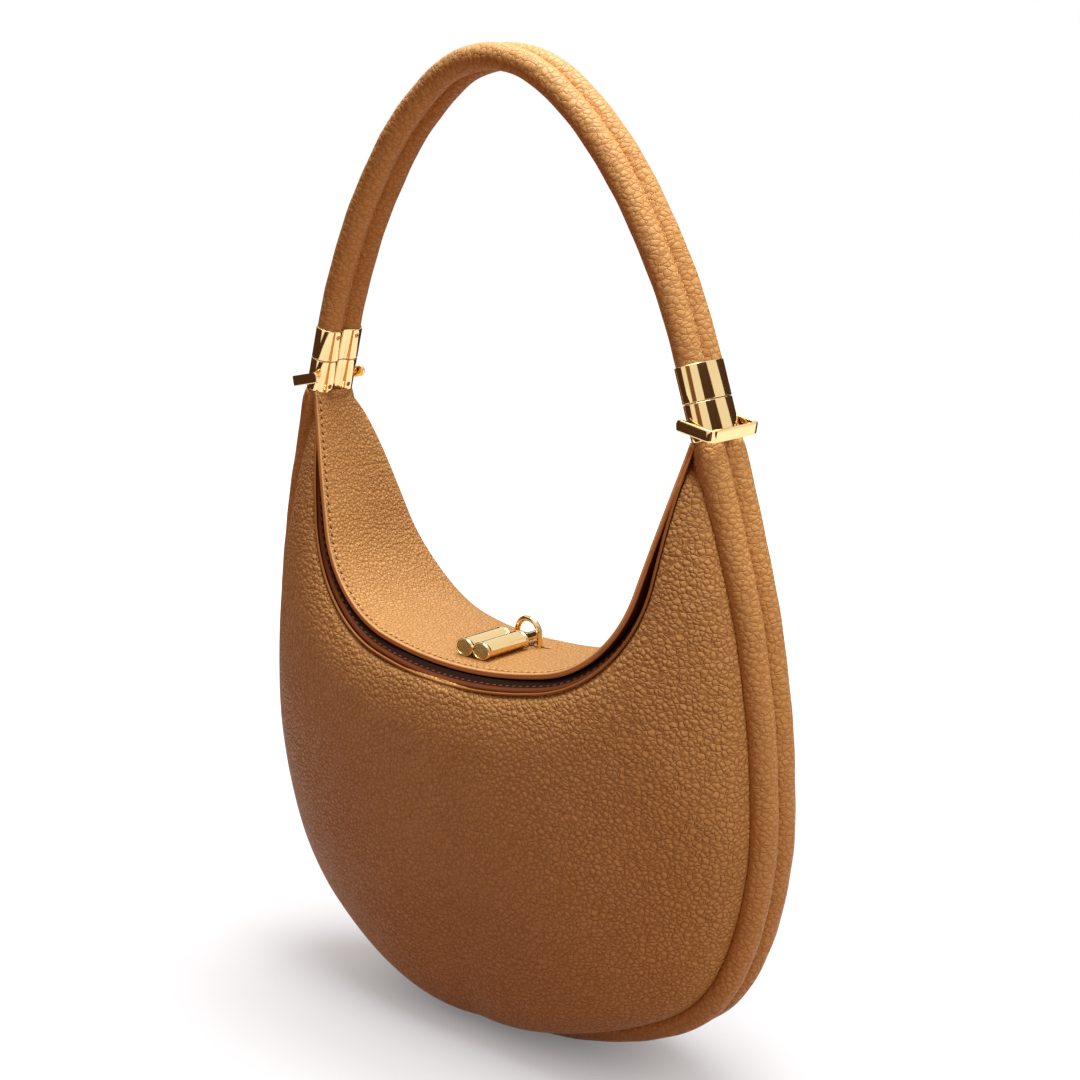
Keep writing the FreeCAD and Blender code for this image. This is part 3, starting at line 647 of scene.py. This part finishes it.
# The edge's upper rounding takes the painted highlight, its lower part the painted band
TOP, HIGHLIGHT_LIP, BAND_EDGE, UNDER = 0, 1, 2, 3
counts = ((TOP, top_y.shape[1] - 1), (TOP, 6), (UNDER, under_y.shape[1] - 1), (BAND_EDGE, 5), (HIGHLIGHT_LIP, 4))
flap_finish = np.concatenate([np.full(count, number) for number, count in counts])
flap = piece("saddle_flap", [(carried(flap_line, flap_out, flap_y), TUBE, flap_finish)],
             [flap_leather, edge_highlight_leather, edge_paint, facing_leather])


def bored(obj, cutter):
    """The piece with the cutter's solids taken out of it."""
    hole = obj.modifiers.new("hole", "BOOLEAN")
    hole.object = cutter
    hole.solver = "EXACT"
    bpy.context.view_layer.update()
    mesh = bpy.data.meshes.new_from_object(obj.evaluated_get(bpy.context.evaluated_depsgraph_get()))
    obj.modifiers.clear()
    obj.data = mesh
    bpy.data.objects.remove(cutter)
    return obj


# The slit for the staple: half its length, half its width along it and at its tips, the room that the legs
# push open, and how far the cut reaches below and above the flap's top
SLIT_HALF, SLIT_OPEN, SLIT_TIP = 13.0, 0.5, 0.05
LEG_ROOM, LEG_SPREAD = 0.9, 1.2
CUT_BELOW, CUT_ABOVE = 8.0, 6.0
slit_x = np.linspace(-SLIT_HALF, SLIT_HALF, 61)
slit_half = SLIT_OPEN + LEG_ROOM * bell(np.abs(slit_x), HALF_SPAN, LEG_SPREAD)
slit_half[[0, -1]] = SLIT_TIP
slit = np.stack([np.concatenate([slit_x, slit_x[::-1]]) + LOCK_X,
                 np.concatenate([-slit_half, slit_half[::-1]]) + STAPLE_Y], axis=-1)
slit_grid = np.stack([np.hstack([slit, np.full((len(slit), 1), z)])
                      for z in (FLAP_TOP - CUT_BELOW, FLAP_TOP + CUT_ABOVE)])
flap = bored(flap, piece("slit_cutter", [(slit_grid, TUBE, 0)], [facing_leather], welded=True))
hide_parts("flap", "flap_lining", "left_flap_wing", "right_flap_wing", "left_flap_wing_lining",
            "right_flap_wing_lining")
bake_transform(flap)
seam_y = flap_front + SEAM_INSET
seam_out = -flap_dip(seam_y)
seam_points = carried(flap_line, seam_out, seam_y)[:, 0]
seam_normals = carried(flap_line, seam_out + 1, seam_y)[:, 0] - seam_points
thread = smooth_leather("waxed_thread", "#E6BC80", "#D6A868", 0.6)
# Dark marks at the stitch holes: painted shade in the holes
hole_shade = smooth_leather("painted_shade_in_stitch_holes", "#6A3E1E", "#5A3116", 0.8)
stitches = stitch_row("flap_stitches", seam_points, seam_normals, thread, length=2.0, height=0.4, slant=0.25)
holes = stitch_row("flap_stitch_holes", seam_points, seam_normals, hole_shade, first=0.5, length=1.6,
                   width=0.95, height=0.14, slant=0.5)
for row in (stitches, holes):
    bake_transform(row)

# Handle: two stuffed leather sleeves side by side from collar to collar over the arch, with a narrow sewn web
# between them. The leather is gathered by the bend, so its pebbles lie across the tubes.
HANDLE_SIDE = [(250.5, 20.3), (143.9, 18.4)]
WEB_OUT = np.array([[2.8, 3.0, 2.8, -2.8, -3.0, -2.8]])
WEB_Y = np.array([[-1.1, 0.0, 1.1, 1.1, 0.0, -1.1]])
up_heading = 90 + COLLAR_TILT
up = np.array([math.cos(math.radians(up_heading)), math.sin(math.radians(up_heading))])
foot = loop_line(0)[-1] - PAST_FOOT * up
handle_start = foot + (LOWER_LENGTH + COLLAR_SEAM) * up
handle_steps = [(None, UPPER_LENGTH - COLLAR_SEAM), *HANDLE_SIDE]
shoulder_x = walk(handle_start, up_heading, handle_steps)[-1, 0]
apex_turn = 180 - up_heading - sum(degrees for radius, degrees in HANDLE_SIDE)
apex_step = (shoulder_x / math.sin(math.radians(apex_turn)), apex_turn)
handle_half = walk(handle_start, up_heading, handle_steps + [apex_step])
handle_line, handle_along = even(np.vstack([handle_half, handle_half[-2::-1] * (-1, 1)]), 300)
handle_leather = pebbled_leather("pebbled_calf_on_handle", "UV", (2.3, 3.4, 1), lift=0.23, crease_shade=0.25)
for side, y, seam in (("front", -TUBE_Y, math.pi / 2), ("back", TUBE_Y, -math.pi / 2)):
    grid, uv = sleeve(handle_line, handle_along, y, TUBE_RADIUS, seam)
    handle = piece(f"handle_{side}_sleeve", [(grid, TUBE, 0)], [handle_leather], uv)
    fixed(handle, "bag", "tan_leather", f"handle_{side}_tube", f"handle_{side}_core")
web = piece("handle_web", [(carried(handle_line, WEB_OUT, WEB_Y), TUBE, 0)], [body_leather], welded=True)
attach(web, "bag")

# Collars: an upper and a lower sleeve of polished gold-plated brass over both tubes on each side. They are
# smooth outside, fluted between the tubes on the face towards the bag's middle, and have rounded lips. Four
# grub screws a side hold them.
def plated_brass(name, tone, worn, roughness):
    """Gold-plated brass, polished: a slow clouding of its tone and polish."""
    material, tree, shader, coords = new_material(name)
    cloud = noise(tree, coords["Object"], 90.0, 4.0)[0]
    polish = ranged(tree, cloud, 0.3, 0.7, roughness, roughness + 0.03)
    connect(tree, shader, {"Base Color": tint(tree, cloud, linear(tone), linear(worn)), "Roughness": polish,
                           "Metallic": 1.0})
    return material


def at_collar(points, side):
    """Points of a collar's own frame (out of the bag, back, up the tubes) placed at the collar of a side."""
    axes = np.array([[up[1], 0.0, -up[0]], [0.0, 1.0, 0.0], [up[0], 0.0, up[1]]])
    placed = np.array([foot[0], 0.0, foot[1]]) + points @ axes
    return placed if side == "right" else placed * (-1, -1, 1)


def lathed(profile, around):
    """A lathe form about Z: (r cos a, r sin a, h) for each (r, h) of the profile."""
    r, h = np.array(profile).T[..., None]
    a = lap(around)
    return np.stack([r * np.cos(a), r * np.sin(a), h * np.ones_like(a)], axis=-1)


def inward(loop):
    """Unit normals to the left of a closed line of points."""
    ahead = unit(np.roll(loop, -1, axis=0) - np.roll(loop, 1, axis=0))
    return np.stack([-ahead[:, 1], ahead[:, 0]], axis=-1)


def crisp(obj, degrees):
    """The piece with its edges kept crisp where they turn by more than that."""
    obj.data.set_sharp_from_angle(angle=math.radians(degrees))
    return obj


brass = plated_brass("polished_gold_plated_brass", "#F6DAA4", "#EDCB8C", 0.05)
SLEEVE_RADIUS = 6.5
SLEEVE_BOW = 7.0
SLEEVE_WALL = 0.6
GROOVE_DEPTH = 1.7
LIP = 0.4
SCREW_RADIUS = 1.15
SCREW_INSET = 3.0
BIT = [(0.0, -3.0), (SCREW_RADIUS, -3.0), (SCREW_RADIUS, 1.0), (0.0, 1.0)]
GRUB = [(0.0, -1.4), (0.5, -1.4), (0.5, -0.85), (0.6, -0.78), (1.0, -0.78), (1.1, -0.88), (1.1, -1.5),
        (0.0, -1.5)]
# Outside, the section is the oval (x / bow)^power + (y / half)^power = 1, and inside it follows the two tubes
OVAL_POWER = 2.2
oval_half = TUBE_Y + SLEEVE_RADIUS
flank = math.acos((SLEEVE_RADIUS - GROOVE_DEPTH) / SLEEVE_RADIUS)
oval_y = oval_half * np.sin(np.linspace(0, math.pi / 2, 60))
oval_x = SLEEVE_BOW * (1 - (oval_y / oval_half) ** OVAL_POWER) ** (1 / OVAL_POWER)
lobe = np.linspace(math.pi / 2, math.pi + flank, 40)[1:]
lobe_x = np.concatenate([oval_x, SLEEVE_RADIUS * np.cos(lobe)])
lobe_y = np.concatenate([oval_y, TUBE_Y + SLEEVE_RADIUS * np.sin(lobe)])
band = np.stack([np.concatenate([lobe_x, lobe_x[::-1]]), np.concatenate([lobe_y, -lobe_y[::-1]])], axis=-1)
band = even(np.vstack([band, band[:1]]), 301)[0][:-1]
quarter = np.linspace(0, math.pi / 2, 6)
lip_in = LIP * (1 - np.sin(quarter))
lip_up = LIP * (1 - np.cos(quarter))
band_in = np.concatenate([lip_in, lip_in[::-1], [SLEEVE_WALL, SLEEVE_WALL]])[:, None, None]
section = band + inward(band) * band_in
COLLARS = {"lower": (0.0, LOWER_LENGTH - COLLAR_SEAM / 2, SCREW_INSET),
           "upper": (LOWER_LENGTH + COLLAR_SEAM / 2, COLLAR_LENGTH, COLLAR_LENGTH - SCREW_INSET)}


def in_screw_holes(profile, side, heights):
    """A lathe form at both tubes' screw holes in a collar's inner face, at each of the heights."""
    form = lathed(profile, 24)
    placed = [np.stack([-SLEEVE_RADIUS - form[..., 2], y + form[..., 1], h + form[..., 0]], axis=-1)
              for y in (-TUBE_Y, TUBE_Y) for h in heights]
    return [(at_collar(grid, side), LATHE, 0) for grid in placed]


for side in ("left", "right"):
    for level, (low, high, screw_height) in COLLARS.items():
        rise = np.concatenate([low + lip_up, high - lip_up[::-1], [high, low]])[:, None, None]
        grid = np.concatenate([section, np.broadcast_to(rise, (*section.shape[:2], 1))], axis=-1)
        collar = piece(f"{side}_{level}_sleeve", [(at_collar(grid, side), HOOP, 0)], [brass], welded=True)
        cutter = piece("screw_cutter", in_screw_holes(BIT, side, [screw_height]), [brass], welded=True)
        fixed(crisp(bored(collar, cutter), 35), "bag", "gold_hardware", f"{side}_{level}_collar")
    grubs = in_screw_holes(GRUB, side, [SCREW_INSET, COLLAR_LENGTH - SCREW_INSET])
    screws = piece(f"{side}_grub_screws", grubs, [brass], welded=True)
    fixed(crisp(screws, 35), "bag", "gold_hardware", f"{side}_collar_screws")

# Swing rings: a rectangular bail of polished bar with rounded corners on each lower collar. It turns on two
# pins that end inside its arms, and straps hook into it.
PIVOT_HEIGHT = 6.1
DROOP = math.radians(28)
RING_REACH = 11.8
RING_TAIL = 7.0
RING_HALF = 15.3
BAR_THICK = 1.8
BAR_HIGH = 5.0
BAR_DROP = 0.5
BAR_CORNER = 1.9
TAIL_ROUND = 1.5
TAIL_SHARE = 0.6
TAIL_LEAST = 0.02
PIN_RADIUS = 1.3
PIN_FROM, PIN_TO = TUBE_Y + 5.9, RING_HALF - 0.5
arm = RING_TAIL + RING_REACH - BAR_THICK / 2 - BAR_CORNER
front_bar = 2 * (RING_HALF - BAR_THICK / 2 - BAR_CORNER)
bail_steps = [(None, arm), (BAR_CORNER, 90), (None, front_bar), (BAR_CORNER, 90), (None, arm)]
bail_line = walk((-RING_TAIL, BAR_THICK / 2 - RING_HALF), 0, bail_steps, spacing=0.5)
bail_line, bail_along = even(bail_line, len(bail_line))
# The bar's section is the rounded rectangle |2 o / thick|^6 + |2 u / high|^6 = 1
bar_cos, bar_sin = np.cos(lap(72))[None], np.sin(lap(72))[None]
bar_out = BAR_THICK / 2 * np.sign(bar_cos) * np.abs(bar_cos) ** (1 / 3)
bar_up = BAR_HIGH / 2 * np.sign(bar_sin) * np.abs(bar_sin) ** (1 / 3) - BAR_DROP
# The tails' ends are rounded off
tail_end = np.minimum(bail_along, bail_along[-1] - bail_along)[:, None]
tail_share = np.sqrt(np.clip(1 - np.clip(1 - tail_end / TAIL_ROUND, 0, 1) ** 2, TAIL_LEAST, 1))
bail = carried(bail_line, bar_out * (TAIL_SHARE + (1 - TAIL_SHARE) * tail_share), bar_up * tail_share)
ring_out = bail[..., 0] * math.cos(DROOP) + bail[..., 1] * math.sin(DROOP)
ring_up = PIVOT_HEIGHT - bail[..., 0] * math.sin(DROOP) + bail[..., 1] * math.cos(DROOP)
ring_grid = np.stack([ring_out, bail[..., 2], ring_up], axis=-1)
pin = lathed([(0.0, PIN_FROM), (PIN_RADIUS, PIN_FROM), (PIN_RADIUS, PIN_TO), (0.0, PIN_TO)], 32)
pins = [np.stack([pin[..., 0], sign * pin[..., 2], PIVOT_HEIGHT + pin[..., 1]], axis=-1) for sign in (-1, 1)]
for side in ("left", "right"):
    swing = piece(f"{side}_swing_ring", [(at_collar(ring_grid, side), TUBE, 0)], [brass], welded=True)
    fixed(crisp(swing, 50), side + "_ring", "gold_hardware", f"{side}_ring")
    pin_shells = [(at_collar(grid, side), LATHE, 0) for grid in pins]
    rivets = piece(f"{side}_pin_heads", pin_shells, [brass], welded=True)
    fixed(crisp(rivets, 40), "bag", "gold_hardware", f"{side}_ring_pins")

# Lock staple: an arch of polished wire that stands up through the slit of the flap, with its legs in a plate
# below the lining.
STAPLE_WIRE = 1.3
STAPLE_HEIGHT = 13.9
PLATE_THICKNESS = 1.2
PLATE_ROUNDING = 0.3
leg_foot = FLAP_TOP - FLAP_THICKNESS - PLATE_THICKNESS
leg = FLAP_TOP + STAPLE_HEIGHT - STAPLE_WIRE - HALF_SPAN - leg_foot
staple_steps = [(None, leg), (HALF_SPAN, 180), (None, leg)]
staple_line = even(walk((LOCK_X + HALF_SPAN, leg_foot), 90, staple_steps, spacing=0.5), 90)[0]
wire = lap(24)[None]
staple_grid = carried(staple_line, STAPLE_WIRE * np.cos(wire), STAPLE_Y + STAPLE_WIRE * np.sin(wire))
staple = piece("wire_staple", [(staple_grid, TUBE, 0)], [brass], welded=True)
fixed(staple, "flap", "gold_hardware", "lock_staple")


def softened(node, name, width, finish):
    """A copy of a solid with its flat faces joined and its edges rounded by a width."""
    edge_angle = math.radians(30)
    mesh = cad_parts[node].data.copy()
    work = bmesh.new()
    work.from_mesh(mesh)
    bmesh.ops.remove_doubles(work, verts=work.verts, dist=1e-6)
    bmesh.ops.dissolve_limit(work, angle_limit=math.radians(1), verts=work.verts, edges=work.edges)
    work.to_mesh(mesh)
    work.free()
    mesh.materials.clear()
    mesh.materials.append(finish)
    mesh.polygons.foreach_set("use_smooth", [True] * len(mesh.polygons))
    mesh.set_sharp_from_angle(angle=edge_angle)
    obj = bpy.data.objects.new(name, mesh)
    bpy.context.scene.collection.objects.link(obj)
    rounding = obj.modifiers.new("rounding", "BEVEL")
    rounding.width = width / PER_METRE
    rounding.segments = 3
    rounding.limit_method = "ANGLE"
    rounding.angle_limit = edge_angle
    return obj


plate = softened("lock_back_plate", "staple_plate", PLATE_ROUNDING, brass)
fixed(plate, "flap", "gold_hardware", "lock_back_plate")

# Toggle: two polished barrels side by side, drawn as one bar of figure-eight section with a raised rim in
# front and ribbed caps set into it. A neck pin behind the right-hand barrel slides through the staple.
BARREL_WIDE = 5.2
BARREL_HIGH = 4.0
BARREL_PITCH = 10.2
BARREL_LENGTH = 26.0
BARREL_FRONT = -23.7
BARREL_LIFT = 0.2
BARREL_Z = FLAP_TOP + BARREL_LIFT + BARREL_HIGH
RIM_WIDTH = 0.75
CAP_RECESS = 0.55
# Profiles along the toggle: the bar as (inwards, from its front or back end), and the neck as (r, h)
BAR_FRONT = [(RIM_WIDTH, CAP_RECESS + 0.5), (RIM_WIDTH, 0.3), (0.6, 0.06), (0.4, 0.0), (0.15, 0.08),
             (0.0, 0.35), (0.0, 1.4), (0.18, 1.7), (0.18, 2.1)]
BAR_BACK = [(0.18, 2.1), (0.18, 1.7), (0.0, 1.4), (0.0, 0.6), (0.2, 0.2), (0.7, 0.0)]
NECK = [(0.0, -2.9), (2.1, -2.9), (2.1, 4.2), (1.95, 4.5), (1.95, 9.9), (1.75, 10.5), (1.2, 10.9),
        (0.0, 11.0)]
bar_profile = np.array(BAR_FRONT + [(deep, BARREL_LENGTH - before) for deep, before in BAR_BACK])
waist = math.acos(BARREL_PITCH / 2 / BARREL_WIDE)
right_lobe = np.linspace(waist - math.pi, math.pi - waist, 160)
left_lobe = np.linspace(waist, 2 * math.pi - waist, 160)[1:-1]
eight_x = np.concatenate([LOCK_X + BARREL_WIDE * np.cos(right_lobe),
                          LOCK_X - BARREL_PITCH + BARREL_WIDE * np.cos(left_lobe)])
eight_z = BARREL_Z + BARREL_HIGH * np.sin(np.concatenate([right_lobe, left_lobe]))
eight = np.stack([eight_x, eight_z], axis=-1)
bar_section = eight[None] + inward(eight)[None] * bar_profile[:, :1, None]
bar_y = np.broadcast_to(BARREL_FRONT + bar_profile[:, 1:], bar_section.shape[:2])
bar_grid = np.stack([bar_section[..., 0], bar_y, bar_section[..., 1]], axis=-1)
barrels = piece("toggle_barrel_pair", [(bar_grid, TUBE, 0)], [brass], welded=True)
fixed(crisp(barrels, 40), "toggle", "gold_hardware", "toggle_barrels")
RIB_PITCH = 0.8
RIB_DEPTH = 0.09
RIB_TILT = math.radians(25)
CAP_OVERLAP = 0.05
CAP_THICKNESS = 0.9
cap_wide, cap_high = BARREL_WIDE - RIM_WIDTH + CAP_OVERLAP, BARREL_HIGH - RIM_WIDTH + CAP_OVERLAP
cap_inner = min(cap_wide, BARREL_PITCH / 2)
cap_shells = []
for centre, inner in ((LOCK_X, 1), (LOCK_X - BARREL_PITCH, -1)):
    cap_x = inner * np.linspace(-cap_inner, cap_wide, 97)[:, None] * np.ones((1, 49))
    cap_z = cap_high * np.sqrt(np.clip(1 - (cap_x / cap_wide) ** 2, 0, None)) * np.linspace(-1, 1, 49)
    phase = (cap_x + centre) * math.cos(RIB_TILT) + cap_z * math.sin(RIB_TILT)
    cap_y = BARREL_FRONT + CAP_RECESS + RIB_DEPTH * (1 + np.cos(2 * math.pi * phase / RIB_PITCH))
    cap = np.stack([cap_x + centre, cap_y, BARREL_Z + cap_z], axis=-1)
    cap_shells.append((cap[:, ::inner], SHEET, 0))
# The caps' brass is rougher, and darker in tone as a painted dark reflection in their recess
cap_brass_painted_dark = plated_brass("ribbed_brass_painted_dark_reflection", "#B08A55", "#94703F", 0.22)
caps = thickened(piece("ribbed_caps", cap_shells, [cap_brass_painted_dark]), CAP_THICKNESS)
fixed(caps, "toggle", "gold_hardware", "toggle_end_caps")
neck = lathed(NECK, 40)
neck_y = BARREL_FRONT + BARREL_LENGTH + neck[..., 2]
neck_grid = np.stack([LOCK_X + neck[..., 0], neck_y, BARREL_Z + neck[..., 1]], axis=-1)
neck_pin = piece("neck_pin", [(neck_grid, LATHE, 0)], [brass], welded=True)
fixed(crisp(neck_pin, 40), "toggle", "gold_hardware", "toggle_neck_pin")

# Stage: a plain white floor and a white surround. Their own white reaches the camera, mirrors and glass
# only, and the light on the bag comes from the lamps, a low warm fill and a dim brown bounce off the floor.
# The floor's shadow is partly real, from the lamps, and partly painted: its glow is weaker near the bag
# and is dimmed where the bag is close.
scene = bpy.context.scene
scene.view_settings.view_transform = "Standard"
FLOOR_SIZE = 8000.0
FILL = 0.23
# Lengths are in metres. The glow rises from its low share near the bag to full far away, which keeps the far
# floor white and paints shadow near the bag; where the bag is close it is dimmed further, down to the shade's
# low share: painted shadow.
GLOW_NEAR, GLOW_FAR = 0.25, 0.9
GLOW_LOW, GLOW_HIGH = 0.66, 1.0
SHADE_REACH, SHADE_LOW = 0.26, 0.2
WHITE = (1, 1, 1, 1)


def shown_rays(tree):
    """1 for rays from the camera, a mirror or glass, and 0 for diffuse light."""
    seen = add(tree, "LightPath", {})
    mirrored = add(tree, "Math", {0: seen["Is Camera Ray"], 1: seen["Is Glossy Ray"]}, operation="MAXIMUM")[0]
    return add(tree, "Math", {0: mirrored, 1: seen["Is Transmission Ray"]}, operation="MAXIMUM")[0]


floor_side = np.array([-FLOOR_SIZE / 2, FLOOR_SIZE / 2])
floor_grid = np.stack(np.broadcast_arrays(floor_side[:, None], floor_side[None], 0.0), axis=-1)
white_floor, tree, shader, coords = new_material("white_studio_floor")
shown = shown_rays(tree)
away = add(tree, "VectorMath", {0: coords["Object"]}, operation="LENGTH")["Value"]
ramp = ranged(tree, away, GLOW_NEAR, GLOW_FAR, GLOW_LOW, GLOW_HIGH, "SMOOTHSTEP")
# Painted shadow: the floor's glow is dimmed where ambient occlusion finds the bag close.
bag_occlusion = add(tree, "AmbientOcclusion", {"Distance": SHADE_REACH}, samples=16)["AO"]
painted_shadow = ranged(tree, bag_occlusion, 0.0, 1.0, SHADE_LOW, 1.0)
glow_with_painted_shadow = add(tree, "Math", {0: ramp, 1: painted_shadow}, operation="MULTIPLY")[0]
glow = add(tree, "Math", {0: glow_with_painted_shadow, 1: shown}, operation="MULTIPLY")[0]
connect(tree, shader, {"Base Color": tint(tree, shown, linear("#946E50"), linear("#A2A5A8")),
                       "Emission Strength": glow, "Emission Color": WHITE, "Roughness": 1.0,
                       "Specular IOR Level": 0.0})
floor = piece("studio_floor", [(floor_grid, SHEET, 0)], [white_floor])

world = bpy.data.worlds.new("white_surround")
scene.world = world
world.use_nodes = True
tree = world.node_tree
shown = shown_rays(tree)
connect(tree, tree.nodes["Background"], {"Strength": ranged(tree, shown, 0.0, 1.0, FILL, 1.0),
                                         "Color": tint(tree, shown, linear("#FFAC90"), WHITE)})

# Dark flags stand round the bag, out of the picture, and give the polished metal its brown bands. Each is an
# arc (from degrees, to degrees, height, tone).
FLAG_RADIUS = 680.0
FLAG_FOOT = 1.0
DARK, BROWN = "#463020", "#7C5B3D"
FLAGS = ((54, 110, 620, DARK), (110, 150, 310, DARK), (150, 244, 620, DARK), (-116, -74, 150, DARK),
         (-74, -41, 620, BROWN), (-2, 31, 620, DARK))
for number, (low, high, height, tone) in enumerate(FLAGS):
    cloth, tree, shader = new_material(f"studio_flag_cloth_{number}")[:3]
    connect(tree, shader, {"Base Color": linear(tone), "Roughness": 1.0})
    bearing = np.radians(np.linspace(low, high, 24))[:, None]
    flag_grid = np.stack(np.broadcast_arrays(FLAG_RADIUS * np.cos(bearing), FLAG_RADIUS * np.sin(bearing),
                                             np.array([[FLAG_FOOT, height]])), axis=-1)
    flag = piece(f"studio_flag_{number}", [(flag_grid, SHEET, 0)], [cloth])
    flag.visible_camera = flag.visible_diffuse = flag.visible_shadow = flag.visible_transmission = False


def softbox(name, place, target, width, height, power):
    """A rectangular studio lamp at a place, aimed at a target, all in metres."""
    lamp = bpy.data.lights.new(name, "AREA")
    lamp.shape = "RECTANGLE"
    lamp.size = width
    lamp.size_y = height
    lamp.energy = power
    obj = bpy.data.objects.new(name, lamp)
    obj.location = place
    obj.rotation_mode = "QUATERNION"
    obj.rotation_quaternion = (Vector(target) - Vector(place)).to_track_quat("-Z", "Y")
    scene.collection.objects.link(obj)
    return obj


softbox("overhead_softbox", (0.0, 0.15, 1.45), (0.0, 0.0, 0.25), width=0.9, height=0.9, power=28.0)
strip_lamp = softbox("right_strip", (0.9, -0.1, 0.7), (0.0, 0.0, 0.2), width=0.25, height=0.8, power=4.1)
strip_lamp.visible_glossy = False

# Camera at the photograph's angle, in metres
AZIMUTH, ELEVATION, ROLL = (math.radians(angle) for angle in (42.86, 13.07, 0.971))
DISTANCE = 0.8589
TARGET = Vector((0.0189, 0.0, 0.2286))
level_back = Vector((math.sin(AZIMUTH), -math.cos(AZIMUTH), 0.0))
level_right = Vector((math.cos(AZIMUTH), math.sin(AZIMUTH), 0.0))
behind = level_back * math.cos(ELEVATION) + Vector((0.0, 0.0, math.sin(ELEVATION)))
level_up = behind.cross(level_right)
right = level_right * math.cos(ROLL) - level_up * math.sin(ROLL)
upward = level_right * math.sin(ROLL) + level_up * math.cos(ROLL)
place = TARGET + behind * DISTANCE
lens = bpy.data.cameras.new("photo_camera")
lens.sensor_width = 36.0
lens.lens = 65.93
camera = bpy.data.objects.new("photo_camera", lens)
scene.collection.objects.link(camera)
camera.matrix_world = Matrix([[*row] for row in zip((*right, 0), (*upward, 0), (*behind, 0), (*place, 1))])
scene.camera = camera
